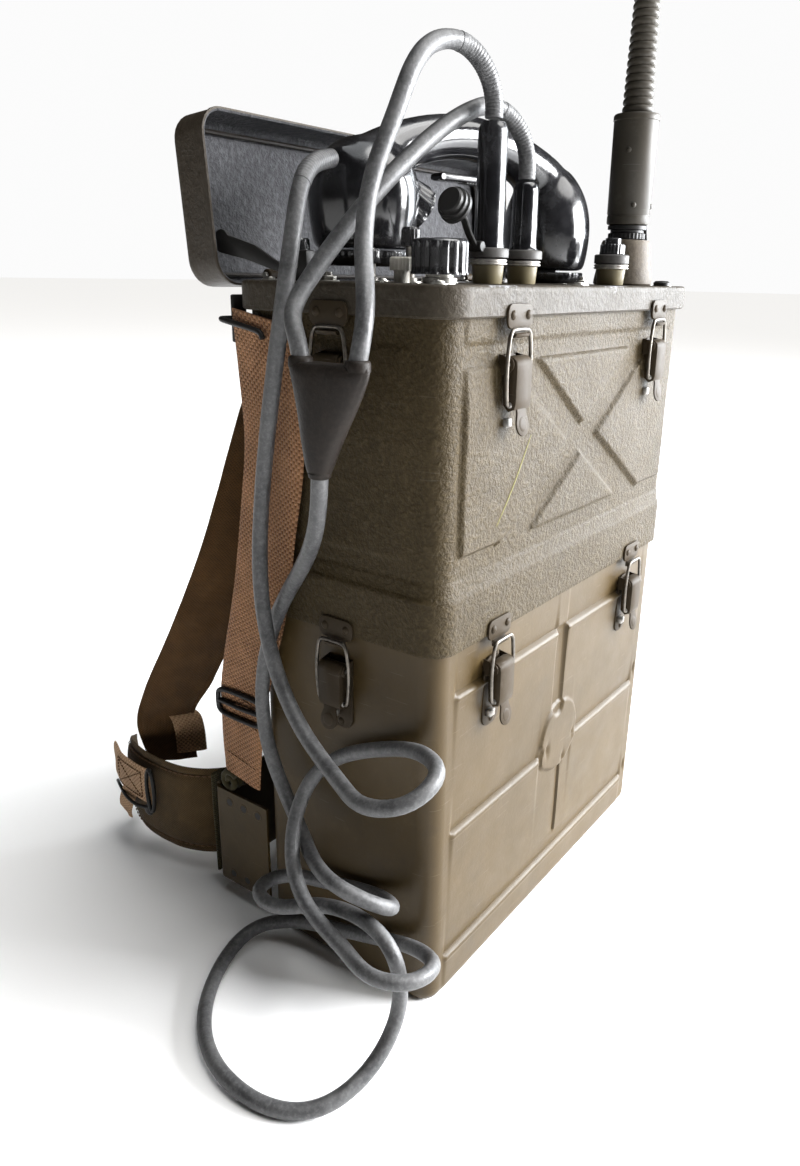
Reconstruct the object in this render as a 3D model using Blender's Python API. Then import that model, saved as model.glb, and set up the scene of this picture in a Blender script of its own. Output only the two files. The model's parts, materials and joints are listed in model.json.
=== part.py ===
"""Back-carried two-way radio set: transceiver case on a battery case, with handset, cords,
antenna, lid, latches and carrying harness.  Metres, +Z up, origin at the centre of the
battery case's underside; X runs along the wide front, -Y is the front, +Y the harness side.
"""
from math import cos, pi, radians, sin

import bmesh
import bpy
from mathutils import Matrix, Vector

MM = 0.001
GAP = 0.0003                      # clearance kept between touching solids

# --- driving dimensions ------------------------------------------------------------------
CASE_W, CASE_D = 0.3066, 0.1362   # battery case
CASE_R = 0.012                    # upright corner radius
WALL = 0.0016
BATTERY_TOP = 0.2395
CASE_GROW = 0.001                 # transceiver case is this much larger each side
BAND_GROW = 0.0036                # overlapping band at its foot
BAND_Z = (0.2398, 0.2717)
PANEL_Z = (0.4163, 0.4320)        # flanged control panel
PANEL_GROW = 0.0061
LATCH_X = 0.096                   # front latches sit this far off the centre
UPPER_LATCH_Z, LOWER_LATCH_Z = 0.393, 0.219   # lever pivots
CORD_R = 0.0045
SEG = 20                          # sides of a round piece

FRONT, LEFT, RIGHT = 0.0, radians(-90), radians(90)


# --- scene set-up ------------------------------------------------------------------------
for old in list(bpy.data.objects):
    bpy.data.objects.remove(old, do_unlink=True)


def new_collection(name):
    made = bpy.data.collections.new(name)
    bpy.context.scene.collection.children.link(made)
    return made


PARTS = new_collection("manpack_radio")
TOOLS = new_collection("cutters")


def material(name, colour, roughness, metallic=0.0):
    mat = bpy.data.materials.new(name)
    mat.use_nodes = True
    shader = mat.node_tree.nodes["Principled BSDF"]
    shader.inputs["Base Color"].default_value = (*colour, 1.0)
    shader.inputs["Roughness"].default_value = roughness
    shader.inputs["Metallic"].default_value = metallic
    return mat


OLIVE = material("olive_paint", (0.20, 0.17, 0.11), 0.55)
CRINKLE = material("olive_crinkle_paint", (0.17, 0.15, 0.10), 0.7)
GREY = material("grey_crinkle_paint", (0.12, 0.12, 0.12), 0.75)
STEEL = material("worn_steel", (0.25, 0.22, 0.17), 0.4, 0.8)
BLACK = material("black_moulding", (0.012, 0.012, 0.013), 0.12)
BLACK_PAINT = material("black_paint", (0.02, 0.02, 0.02), 0.5)
RUBBER = material("cord_rubber", (0.10, 0.10, 0.11), 0.6)
CONE_RUBBER = material("base_rubber", (0.20, 0.15, 0.10), 0.7)
TAN = material("tan_webbing", (0.36, 0.20, 0.10), 0.9)
CANVAS = material("olive_canvas", (0.10, 0.075, 0.04), 0.9)
CARD = material("battery_card", (0.25, 0.20, 0.14), 0.8)


# --- mesh makers (each adds one solid to a bmesh) ----------------------------------------
def place(bm, verts, centre, turn=None):
    if turn is not None:
        bmesh.ops.transform(bm, matrix=turn, verts=verts)
    bmesh.ops.translate(bm, verts=verts, vec=Vector(centre))


def add_box(bm, size, centre, turn=None):
    verts = bmesh.ops.create_cube(bm, size=1.0)["verts"]
    bmesh.ops.scale(bm, verts=verts, vec=size)
    place(bm, verts, centre, turn)


def add_rounded(bm, size, centre, radius, segments=4, axis=2, turn=None):
    """Box whose four edges along one axis are rounded."""
    part = bmesh.new()
    verts = bmesh.ops.create_cube(part, size=1.0)["verts"]
    bmesh.ops.scale(part, verts=verts, vec=size)
    along = [e for e in part.edges
             if abs((e.verts[0].co - e.verts[1].co)[axis]) > 0.5 * size[axis]]
    bmesh.ops.bevel(part, geom=along, offset=radius, segments=segments, profile=0.5,
                    affect='EDGES')
    place(part, part.verts[:], centre, turn)
    merge(bm, part)


def merge(bm, part):
    mesh = bpy.data.meshes.new("scratch")
    part.to_mesh(mesh)
    part.free()
    bm.from_mesh(mesh)
    bpy.data.meshes.remove(mesh)


def add_cylinder(bm, radius, z0, z1, xy=(0, 0), top_radius=None, segments=SEG, turn=None,
                 centre=None):
    """Upright cylinder or cone; with turn and centre it is laid along another direction."""
    made = bmesh.ops.create_cone(bm, cap_ends=True, segments=segments, radius1=radius,
                                 radius2=radius if top_radius is None else top_radius,
                                 depth=z1 - z0)["verts"]
    where = centre if centre is not None else (xy[0], xy[1], (z0 + z1) / 2)
    place(bm, made, where, turn)


def add_plate(bm, outline, axis, low, high):
    """Flat outline extruded along an axis (0 = X, 1 = Y, 2 = Z)."""
    others = [i for i in range(3) if i != axis]
    part = bmesh.new()
    ring = []
    for a, b in outline:
        point = [0.0, 0.0, 0.0]
        point[others[0]], point[others[1]], point[axis] = a, b, low
        ring.append(part.verts.new(point))
    face = part.faces.new(ring)
    moved = bmesh.ops.extrude_face_region(part, geom=[face])["geom"]
    push = Vector((0, 0, 0))
    push[axis] = high - low
    bmesh.ops.translate(part, vec=push,
                        verts=[v for v in moved if isinstance(v, bmesh.types.BMVert)])
    bmesh.ops.recalc_face_normals(part, faces=part.faces)
    merge(bm, part)


def add_loft(bm, rings):
    """Closed solid through a row of equal-sized rings of points."""
    part = bmesh.new()
    rows = [[part.verts.new(p) for p in ring] for ring in rings]
    count = len(rows[0])
    for low, high in zip(rows, rows[1:]):
        for i in range(count):
            j = (i + 1) % count
            part.faces.new((low[i], low[j], high[j], high[i]))
    part.faces.new(rows[0][::-1])
    part.faces.new(rows[-1])
    bmesh.ops.recalc_face_normals(part, faces=part.faces)
    merge(bm, part)


def solid(name, mat, build, collection=PARTS, origin=(0, 0, 0), turn=0.0):
    """Object from a function that fills a bmesh, its origin moved to a given point."""
    bm = bmesh.new()
    build(bm)
    bmesh.ops.translate(bm, verts=bm.verts, vec=-Vector(origin))
    mesh = bpy.data.meshes.new(name)
    bm.to_mesh(mesh)
    bm.free()
    if mat is not None:
        mesh.materials.append(mat)
    made = bpy.data.objects.new(name, mesh)
    made.location = origin
    made.rotation_euler = (0, 0, turn)
    collection.objects.link(made)
    return made


def combine(target, name, build, operation='UNION'):
    """Boolean with a hidden tool object."""
    tool = solid(name, None, build, TOOLS)
    tool.hide_render = True
    tool.display_type = 'WIRE'
    step = target.modifiers.new(operation.lower(), 'BOOLEAN')
    step.operation = operation
    step.object = tool
    step.use_self = True
    step.solver = 'EXACT'
    return tool


def even_steps(fine, count):
    """Evenly spaced points along a fine line."""
    lengths = [0.0]
    for a, b in zip(fine, fine[1:]):
        lengths.append(lengths[-1] + (b - a).length)
    out, k = [], 0
    for i in range(count):
        want = lengths[-1] * i / (count - 1)
        while k < len(fine) - 2 and lengths[k + 1] < want:
            k += 1
        span = lengths[k + 1] - lengths[k]
        out.append(fine[k].lerp(fine[k + 1], (want - lengths[k]) / span if span else 0))
    return out


def spline_bends(pts, spans):
    """Second derivatives of the natural cubic spline, solved down and then back up."""
    ratio, carry = [0.0], [Vector()]
    for i in range(1, len(pts) - 1):
        pivot = 2 * (spans[i - 1] + spans[i]) - spans[i - 1] * ratio[-1]
        turn = 6 * ((pts[i + 1] - pts[i]) / spans[i] - (pts[i] - pts[i - 1]) / spans[i - 1])
        ratio.append(spans[i] / pivot)
        carry.append((turn - spans[i - 1] * carry[-1]) / pivot)
    bends = [Vector() for _ in pts]
    for i in range(len(pts) - 2, 0, -1):
        bends[i] = carry[i] - ratio[i] * bends[i + 1]
    return bends


def cord_path(points, count):
    """Evenly spaced points on one smooth curve through a cord's route."""
    pts = [Vector(p) for p in points]
    spans = [(b - a).length for a, b in zip(pts, pts[1:])]
    bends = spline_bends(pts, spans)
    fine = []
    for a, b, bend_a, bend_b, h in zip(pts, pts[1:], bends, bends[1:], spans):
        for k in range(16):
            t = h * k / 16
            s = h - t
            fine.append((bend_a * s ** 3 + bend_b * t ** 3) / (6 * h)
                        + (a / h - bend_a * h / 6) * s + (b / h - bend_b * h / 6) * t)
    fine.append(pts[-1])
    return even_steps(fine, count)


def wire(name, mat, points, radius, resolution=2, radii=None, collection=PARTS, cyclic=False):
    """Tube along points: a POLY curve with a round bevel and filled caps."""
    data = bpy.data.curves.new(name, 'CURVE')
    data.dimensions = '3D'
    data.bevel_depth = radius
    data.bevel_resolution = resolution
    data.use_fill_caps = True
    line = data.splines.new('POLY')
    line.points.add(len(points) - 1)
    for i, point in enumerate(points):
        line.points[i].co = (*point, 1.0)
        line.points[i].radius = 1.0 if radii is None else radii[i]
    line.use_cyclic_u = cyclic
    if mat is not None:
        data.materials.append(mat)
    made = bpy.data.objects.new(name, data)
    collection.objects.link(made)
    return made


def curve_to_mesh(made):
    """Swap a curve object for a mesh object of the same shape with welded caps."""
    graph = bpy.context.evaluated_depsgraph_get()
    mesh = bpy.data.meshes.new_from_object(made.evaluated_get(graph))
    bm = bmesh.new()
    bm.from_mesh(mesh)
    bmesh.ops.remove_doubles(bm, verts=bm.verts, dist=1e-6)
    bmesh.ops.recalc_face_normals(bm, faces=bm.faces)
    bm.to_mesh(mesh)
    bm.free()
    name, home = made.name, made.users_collection[0]
    bpy.data.objects.remove(made, do_unlink=True)
    swapped = bpy.data.objects.new(name, mesh)
    home.objects.link(swapped)
    return swapped


def mm(*rows):
    return [tuple(v * MM for v in row) for row in rows]


# --- latches: a strike on the upper piece, a base, a lever and a wire bail below it --------
# Measured from the latch's own face: u along the face, out away from it, z up from the
# lever's pivot.  The same mesh serves every latch of a kind.
LEVER_OUT, LEVER_HALF = 0.0070, 0.0081
BAIL_DROP, BAIL_OUT, BAIL_HALF = -0.0210, 0.0010, 0.0110
BAIL_RISE, BAIL_WIRE = 0.0383, 0.0010


def lever_build(bm):
    """Lever body from 3 mm above its pivot down to a rounded thumb tab."""
    add_rounded(bm, (2 * LEVER_HALF, 0.0060, 0.0275), (0, 0, -0.01075), 0.0028, 3, axis=0)


def lever_tab(bm):
    add_plate(bm, [(-0.006, -0.022), (0.006, -0.022), (0.0068, -0.032), (0.0045, -0.037),
                   (0.0, -0.0388), (-0.0045, -0.037), (-0.0068, -0.032)], 1, -0.0022, -0.0006)


def bail_points():
    """Wire loop from one lever side up over the strike and down to the other side."""
    half = [(LEVER_HALF + 0.0004, 0.0), (BAIL_HALF - 0.0006, 0.0), (BAIL_HALF, 0.0008)]
    for k in range(1, 4):
        t = k / 4
        half.append((BAIL_HALF + 0.0008 * sin(pi * t), 0.0008 + (BAIL_RISE - 0.0038) * t))
    half += [(BAIL_HALF, BAIL_RISE - 0.0030), (BAIL_HALF - 0.0009, BAIL_RISE - 0.0009),
             (BAIL_HALF - 0.0030, BAIL_RISE)]
    path = [(u, 0.0, z) for u, z in half]
    return path + [(-u, 0.0, z) for u, z in reversed(half)]


LEVER_MESH, BAIL_MESH = None, None


def latch_spot(face, along, depth):
    """World point on a face: along it, and out from the case centre by depth."""
    return Matrix.Rotation(face, 3, 'Z') @ Vector((along, -depth, 0))


def add_latch(tag, face, along, surface, pivot_z):
    """Lever and bail of one latch; surface is the distance from the axis to the face."""
    global LEVER_MESH, BAIL_MESH
    spot = latch_spot(face, along, surface + LEVER_OUT)
    lever = solid("latch_lever_" + tag, OLIVE, lever_build)
    combine(lever, "tab_" + tag, lever_tab)
    bail = curve_to_mesh(wire("latch_bail_" + tag, STEEL, bail_points(), BAIL_WIRE, 1))
    lever.location = (spot.x, spot.y, pivot_z)
    lever.rotation_euler = (0, 0, face)
    tool = bpy.data.objects["tab_" + tag]
    tool.location, tool.rotation_euler = lever.location, lever.rotation_euler
    bail.parent = lever
    bail.location = (0, -BAIL_OUT, BAIL_DROP)
    return lever, bail


LATCH_FACES = (("front_left", FRONT, -LATCH_X), ("front_right", FRONT, LATCH_X),
               ("left", LEFT, 0.0), ("right", RIGHT, 0.0))


def face_distance(face, grow=0.0):
    return (CASE_D if face == FRONT else CASE_W) / 2 + grow


def add_on_face(bm, face, along, near, far, width, z0, z1):
    """Box standing on a face between two distances from the case centre."""
    centre = latch_spot(face, along, (near + far) / 2)
    add_box(bm, (width, far - near, z1 - z0), (centre.x, centre.y, (z0 + z1) / 2),
            Matrix.Rotation(face, 3, 'Z'))


def strikes(bm, pivot_z, grow, root_depth):
    """Strike plate and tongue above each latch; the bail's bar rests on the tongue."""
    for _, face, along in LATCH_FACES:
        skin = face_distance(face)
        base = skin + grow - root_depth
        add_on_face(bm, face, along, base, skin + 0.0068, 0.025, pivot_z + 0.0175,
                    pivot_z + 0.030)
        add_on_face(bm, face, along, skin + 0.0060, skin + 0.0102, 0.011,
                    pivot_z + 0.0137, pivot_z + 0.0160)
        add_on_face(bm, face, along, skin + 0.0050, skin + 0.0068, 0.011,
                    pivot_z + 0.0137, pivot_z + 0.0180)


def latch_bases(bm, pivot_z, grow):
    """Base plate and the two ears that carry the lever's pin."""
    for _, face, along in LATCH_FACES:
        skin = face_distance(face, grow)
        add_on_face(bm, face, along, skin - 0.0008, skin + 0.0014, 0.0186,
                    pivot_z - 0.041, pivot_z + 0.005)
        for side in (-1, 1):
            add_on_face(bm, face, along + side * 0.0089, skin - 0.0008, skin + 0.0098,
                        0.0010, pivot_z - 0.004, pivot_z + 0.005)


# --- battery case ------------------------------------------------------------------------
RIB = 0.0016                      # height of the pressed ribs above the skin


def battery_outer(bm):
    add_rounded(bm, (CASE_W, CASE_D, BATTERY_TOP), (0, 0, BATTERY_TOP / 2), CASE_R, 5)


def battery_inner(bm):
    size = (CASE_W - 2 * WALL, CASE_D - 2 * WALL, BATTERY_TOP)
    add_rounded(bm, size, (0, 0, BATTERY_TOP / 2 + WALL), CASE_R - WALL, 5)


def battery_ribs(bm):
    """Pressed beads on the wide front: two top panels, a middle line, uprights, a foot line."""
    skin = CASE_D / 2
    runs = ((-0.134, -0.009, 0.211), (0.005, 0.133, 0.211), (-0.134, -0.027, 0.119),
            (0.026, 0.133, 0.119), (-0.137, 0.132, 0.0295))
    for x0, x1, z in runs:
        add_box(bm, (x1 - x0, 2 * RIB, 0.004), ((x0 + x1) / 2, -skin, z))
    for x, z0, z1 in ((-0.009, 0.144, 0.2125), (0.005, 0.156, 0.2125), (0.009, 0.042, 0.097)):
        add_box(bm, (0.004, 2 * RIB, z1 - z0), (x, -skin, (z0 + z1) / 2))
    ring = [(0.003 + 0.027 * cos(a), 0.127 + 0.027 * sin(a))
            for a in (2 * pi * k / 20 for k in range(20))]
    add_plate(bm, ring, 1, -skin - 0.0009, -skin + 0.001)


battery = solid("battery_case", OLIVE, battery_outer)
combine(battery, "battery_bases", lambda bm: latch_bases(bm, LOWER_LATCH_Z, 0.0))
combine(battery, "battery_ribs", battery_ribs)
combine(battery, "battery_inside", battery_inner, 'DIFFERENCE')

solid("battery_block", CARD, lambda bm: add_rounded(
    bm, (CASE_W - 2 * WALL - 0.002, CASE_D - 2 * WALL - 0.002, 0.222),
    (0, 0, WALL + GAP + 0.111), 0.010, 3))


# --- transceiver case --------------------------------------------------------------------
def transceiver_outer(bm):
    low, high = BAND_Z[0], PANEL_Z[0] - GAP
    size = (CASE_W + 2 * CASE_GROW, CASE_D + 2 * CASE_GROW, high - low)
    add_rounded(bm, size, (0, 0, (low + high) / 2), CASE_R, 5)


def transceiver_band(bm):
    height = BAND_Z[1] - BAND_Z[0]
    size = (CASE_W + 2 * BAND_GROW, CASE_D + 2 * BAND_GROW, height)
    add_rounded(bm, size, (0, 0, BAND_Z[0] + height / 2), CASE_R + 0.003, 5)


def transceiver_inner(bm):
    size = (CASE_W + 2 * CASE_GROW - 2 * WALL, CASE_D + 2 * CASE_GROW - 2 * WALL, 0.30)
    add_rounded(bm, size, (0, 0, 0.33), CASE_R - WALL, 5)


def pressed_cross(bm):
    """Four raised fields that leave a recessed cross between them."""
    skin = CASE_D / 2 + CASE_GROW
    fields = (((-0.062, 0.391), (0.062, 0.391), (-0.001, 0.351)),
              ((-0.060, 0.2945), (0.055, 0.2945), (-0.002, 0.331)),
              ((0.0195, 0.342), (0.095, 0.391), (0.0945, 0.296)),
              ((-0.022, 0.342), (-0.0975, 0.391), (-0.097, 0.296)))
    for corners in fields:
        add_plate(bm, corners, 1, -skin - 0.0016, -skin + 0.0008)
    add_box(bm, (0.273, 0.0024, 0.009), (-0.0015, -skin, 0.409))


transceiver = solid("transceiver_case", CRINKLE, transceiver_outer)
combine(transceiver, "transceiver_band", transceiver_band)
combine(transceiver, "transceiver_bases",
        lambda bm: latch_bases(bm, UPPER_LATCH_Z, CASE_GROW))
combine(transceiver, "lower_strikes",
        lambda bm: strikes(bm, LOWER_LATCH_Z, BAND_GROW, 0.002))
combine(transceiver, "pressed_cross", pressed_cross)
combine(transceiver, "transceiver_inside", transceiver_inner, 'DIFFERENCE')


def chassis_build(bm):
    add_box(bm, (0.290, 0.118, 0.004), (0, 0, 0.262))


def chassis_fittings(bm):
    """Valves, cans and the tuning gang standing on the chassis deck."""
    for k in range(6):
        add_cylinder(bm, 0.009, 0.2635, 0.310, (-0.12 + 0.026 * k, -0.035), segments=10)
    for k in range(4):
        add_box(bm, (0.022, 0.022, 0.052), (-0.115 + 0.034 * k, 0.032, 0.2895))
    add_box(bm, (0.070, 0.060, 0.070), (0.075, 0.010, 0.2985))


chassis = solid("chassis", STEEL, chassis_build)
combine(chassis, "chassis_fittings", chassis_fittings)


# --- control panel -----------------------------------------------------------------------
def panel_build(bm):
    size = (CASE_W + 2 * PANEL_GROW, CASE_D + 2 * PANEL_GROW, PANEL_Z[1] - PANEL_Z[0])
    add_rounded(bm, size, (0, 0, sum(PANEL_Z) / 2), CASE_R + 0.003, 5)


LID_AXIS = (0.0, 0.0790, 0.4345)
STAY_PIN = (0.0870, 0.4520)       # y, z of the stay's pivot on the lid's end wall
STAY_X = 0.1500


def panel_fittings(bm):
    """Hinge knuckles with their pins at the back, and the lid stays' guide blocks."""
    for x in (-0.105, 0.105):
        add_box(bm, (0.040, 0.0150, 0.0060), (x, 0.0710, 0.4335))
    for side in (-1, 1):
        add_box(bm, (0.008, 0.018, 0.016), (side * 0.1415, 0.037, 0.4395))


panel = solid("control_panel", CRINKLE, panel_build)
combine(panel, "upper_strikes", lambda bm: strikes(bm, UPPER_LATCH_Z, PANEL_GROW, 0.002))
combine(panel, "panel_fittings", panel_fittings)


def hinge_pins(bm):
    for x in (-0.105, 0.105):
        add_cylinder(bm, 0.0016, -0.022, 0.022, turn=Matrix.Rotation(pi / 2, 3, 'Y'),
                     centre=(x, LID_AXIS[1], LID_AXIS[2]), segments=8)


combine(panel, "hinge_pins", hinge_pins)

# --- lid, hinged at the panel's back edge and standing open ---------------------------------
LID_LEAN = radians(-5)
LID_HALF_X, LID_HIGH, LID_DEEP = 0.158, 0.091, 0.0275


def lid_outer(bm):
    add_rounded(bm, (2 * LID_HALF_X, LID_DEEP, LID_HIGH),
                (0, 0.0035 + LID_DEEP / 2, -0.005 + LID_HIGH / 2), 0.012, 4, axis=1)


def lid_inner(bm):
    add_rounded(bm, (2 * (LID_HALF_X - WALL), LID_DEEP, LID_HIGH - 2 * WALL),
                (0, 0.0035 + LID_DEEP / 2 - WALL, -0.005 + LID_HIGH / 2), 0.0105, 4, axis=1)


lid = solid("lid", OLIVE, lid_outer)
inside = combine(lid, "lid_inside", lid_inner, 'DIFFERENCE')
for piece in (lid, inside):
    piece.location = LID_AXIS
    piece.rotation_euler = (LID_LEAN, 0, 0)


def stay_build(bm):
    """Flat arm from its pivot down to the guide block, with a round eye."""
    add_plate(bm, [(-0.048, -0.0125), (-0.046, -0.0165), (-0.004, -0.0050), (0.004, -0.0042),
                   (0.0062, 0.0), (0.0040, 0.0046), (-0.0010, 0.0060), (-0.0060, 0.0020)],
              0, -0.0012, 0.0012)


for tag, side in (("left", -1), ("right", 1)):
    stay = solid("lid_stay_" + tag, BLACK_PAINT, stay_build)
    stay.location = (side * STAY_X, STAY_PIN[0], STAY_PIN[1])

# --- latches -----------------------------------------------------------------------------
for level, pivot_z, grow in (("upper", UPPER_LATCH_Z, CASE_GROW), ("lower", LOWER_LATCH_Z, 0)):
    for tag, face, along in LATCH_FACES:
        add_latch(level + "_" + tag, face, along, face_distance(face), pivot_z)

# --- knobs and sockets on the panel ----------------------------------------------------------
TOP = PANEL_Z[1] + GAP


def fluted(bm, radius, z0, z1, xy, flutes=12, depth=0.0011):
    count = flutes * 2
    rim = []
    for k in range(count):
        r = radius - (depth if k % 2 else 0.0)
        a = 2 * pi * k / count
        rim.append((xy[0] + r * cos(a), xy[1] + r * sin(a)))
    add_plate(bm, rim, 2, z0, z1)


KNOBS = (("knob_channel", (-0.1195, -0.040), 0.0147, 0.0215, 14),
         ("knob_volume", (-0.1040, -0.010), 0.0052, 0.0280, 8),
         ("knob_squelch", (-0.1230, 0.002), 0.0048, 0.0165, 8),
         ("knob_rear", (-0.1270, 0.0500), 0.0082, 0.0220, 10),
         ("antenna_trim_knob", (0.0600, -0.0530), 0.0112, 0.0290, 12))
for name, xy, radius, height, flutes in KNOBS:
    def knob_build(bm, xy=xy, radius=radius, height=height, flutes=flutes):
        fluted(bm, radius, TOP + height * 0.25, TOP + height, xy, flutes)

    def knob_foot(bm, xy=xy, radius=radius, height=height):
        add_cylinder(bm, radius * 0.62, TOP, TOP + height * 0.35, xy, segments=12)

    knob = solid(name, BLACK, knob_build, origin=(*xy, TOP))
    combine(knob, name + "_foot", knob_foot)

JACK_LONG, JACK_SHORT = (-0.0730, -0.0400), (-0.0350, -0.0400)


def jack_build(bm, xy):
    add_cylinder(bm, 0.0084, TOP, TOP + 0.0105, xy, top_radius=0.0090, segments=16)


def jack_flange(bm, xy):
    add_cylinder(bm, 0.0108, TOP + 0.0100, TOP + 0.0130, xy, segments=16)


def plug_build(bm, xy):
    add_cylinder(bm, 0.0108, TOP + 0.0133, TOP + 0.0210, xy, segments=16)


for tag, xy, radius, top in (("long", JACK_LONG, 0.0080, 0.5130),
                             ("short", JACK_SHORT, 0.0074, 0.4870)):
    jack = solid("jack_" + tag, OLIVE, lambda bm, xy=xy: jack_build(bm, xy))
    combine(jack, "jack_flange_" + tag, lambda bm, xy=xy: jack_flange(bm, xy))
    plug = solid("plug_" + tag, BLACK, lambda bm, xy=xy: plug_build(bm, xy))
    combine(plug, "plug_shell_" + tag, lambda bm, xy=xy, radius=radius, top=top:
            add_cylinder(bm, radius, TOP + 0.018, top, xy, segments=16))

COVER_PIN = (-0.0850, -0.0400, 0.4515)     # hinge of the swung-open dust cover, along Y


def cover_build(bm):
    turn = Matrix.Rotation(radians(-65), 3, 'Y')
    add_cylinder(bm, 0.0088, 0, 0.0085, turn=turn, centre=(-0.1050, -0.0400, 0.4690),
                 segments=14)


def cover_arm(bm):
    add_plate(bm, [(-0.1035, 0.4640), (-0.0990, 0.4680), (-0.0852, 0.4535),
                   (-0.0852, 0.4500), (-0.0885, 0.4500)], 1, -0.0420, -0.0380)


cover = solid("jack_cover", BLACK_PAINT, cover_build, origin=COVER_PIN)
combine(cover, "cover_arm", cover_arm)

# --- antenna -----------------------------------------------------------------------------
MAST = (0.1100, -0.0400)
WHIP_TOP = 1.270


def antenna_base_build(bm):
    add_cylinder(bm, 0.0205, TOP, 0.4620, MAST, top_radius=0.0165)


def sleeve_build(bm):
    add_cylinder(bm, 0.0143, 0.4720, 0.5410, MAST, top_radius=0.0150)


solid("antenna_base", CONE_RUBBER, antenna_base_build)
sleeve = solid("antenna_sleeve", OLIVE, sleeve_build)
combine(sleeve, "antenna_ring",
        lambda bm: add_cylinder(bm, 0.0122, 0.4623, 0.4730, MAST, segments=16))


def gooseneck_build(bm):
    add_cylinder(bm, 0.0100, 0.5413, 0.7000, MAST, top_radius=0.0050, segments=14)


solid("antenna_gooseneck", OLIVE, gooseneck_build)
solid("antenna_whip", OLIVE, lambda bm: add_cylinder(bm, 0.0030, 0.7003, WHIP_TOP, MAST,
                                                     top_radius=0.0016, segments=8))
wire("antenna_rod", BLACK_PAINT, mm((134, -49, 432.6), (134, -47, 446), (122, -11, 750)),
     0.0013, 1)

# --- handset: an arched handle between two cups that face down ---------------------------------
MOUTH, EAR = (-0.089, 0.035), (0.062, -0.002)
MOUTH_Z, EAR_Z = 0.4490, 0.4400           # open rims of the two cups


def along_handset(t):
    """Plan position at a fraction of the way from the mouthpiece to the earpiece."""
    return (MOUTH[0] + (EAR[0] - MOUTH[0]) * t, MOUTH[1] + (EAR[1] - MOUTH[1]) * t)


def handle_points():
    """Arch of the handle's centre line, with its thickness."""
    points, radii = [], []
    for k in range(13):
        t = -0.04 + 1.08 * k / 12
        x, y = along_handset(t)
        rise = 0.489 + 0.027 * sin(pi * min(max(t, 0.0), 1.0)) ** 0.8
        points.append((x, y, rise))
        radii.append(1.0 + 0.5 * abs(2 * t - 1) ** 3)
    return points, radii


def handset_cups(bm):
    for (x, y), z, radius in ((MOUTH, MOUTH_Z, 0.0285), (EAR, EAR_Z, 0.0270)):
        add_cylinder(bm, radius, z, z + 0.020, (x, y), top_radius=radius)
        add_cylinder(bm, radius, z + 0.020, z + 0.055, (x, y), top_radius=0.018)


def add_turned(bm, xy, rows, segments=SEG):
    """Solid of revolution about a vertical axis from (radius, z) rows, bottom to top."""
    rings = [[(xy[0] + r * cos(2 * pi * k / segments), xy[1] + r * sin(2 * pi * k / segments),
               z) for k in range(segments)] for r, z in rows]
    add_loft(bm, rings)


def cup_rows(z, radius):
    return [(radius, z), (radius, z + 0.018), (radius * 0.93, z + 0.032),
            (radius * 0.78, z + 0.045), (radius * 0.5, z + 0.055)]


points, radii = handle_points()
handset = curve_to_mesh(wire("handset_body", BLACK, points, 0.0130, 3, radii))
combine(handset, "mouth_cup", lambda bm: add_turned(bm, MOUTH, cup_rows(MOUTH_Z, 0.0285)))
combine(handset, "ear_cup", lambda bm: add_turned(bm, EAR, cup_rows(EAR_Z, 0.0270)))


def cap_build(bm, xy, radius, z0, z1):
    add_cylinder(bm, radius - 0.004, z0, z1, xy, top_radius=radius)


solid("handset_mouthpiece_cap", BLACK,
      lambda bm: cap_build(bm, MOUTH, 0.0282, 0.4405, MOUTH_Z - GAP))
solid("handset_earpiece_cap", BLACK,
      lambda bm: cap_build(bm, EAR, 0.0268, TOP + 0.0002, EAR_Z - GAP))

SWITCH_TILT = Matrix.Rotation(-0.240, 3, 'Z')
SWITCH_PIN = (*along_handset(0.36), 0.4925)


def switch_build(bm):
    """Press-to-talk bar hanging just under the handle, hinged at its left end."""
    x, y = along_handset(0.50)
    add_rounded(bm, (0.046, 0.010, 0.0045), (x, y, 0.4925), 0.0020, 2, axis=1,
                turn=SWITCH_TILT)


solid("handset_talk_switch", BLACK, switch_build, origin=SWITCH_PIN)

# --- cords -------------------------------------------------------------------------------
# Handset cord, in stages: out of the mouthpiece end, down the left side, two hanging turns,
# one turn on the ground, a flat turn close to the case, and up to the junction.
HANDSET_CORD = mm(
    (-122, 30, 494), (-144, 26, 487), (-163, 20, 458), (-171, 42, 318),
    (-180, 34, 240), (-189, -1, 191), (-203, -43, 177), (-213, -68, 180), (-206, -88, 186),
    (-187, -92, 193), (-171, -75, 192), (-161, -36, 178), (-169, 8, 149), (-190, 9, 112),
    (-204, -16, 86), (-207, -47, 73), (-213, -71, 73), (-205, -89, 73), (-186, -92, 69),
    (-169, -75, 59), (-160, -12, 35), (-180, 61, 12), (-225, 50, 6.5),
    (-266, -8, 5.5), (-251, -62, 6), (-200, -77, 32), (-194, -69, 77),
    (-193, -10, 77), (-202, 16, 70), (-193, 36, 67), (-173, 36, 64), (-162, 12, 65),
    (-164, -41, 78), (-181, -58, 91), (-199, -40, 106), (-178, 12, 110), (-169, 49, 160),
    (-167, 35, 250), (-187, -14, 317), (-190, -19, 340))
LONG_LEAD = mm(
    (-190, -44, 397), (-185, -44, 416), (-166, -28, 445), (-153, -23, 480), (-140, -27, 510),
    (-117, -29, 541), (-92, -34, 545), (-77, -39, 532), (-73, -40, 519), (-73, -40, 514.3))
SHORT_LEAD = mm(
    (-190, -8, 397.5), (-190, -6.5, 404), (-184, 2, 417), (-172, 2, 433), (-150, -12, 465),
    (-118, -21, 494), (-80, -27, 517), (-54, -32, 522), (-39, -38, 510), (-35, -40, 494),
    (-35, -40, 488.3))

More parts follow.
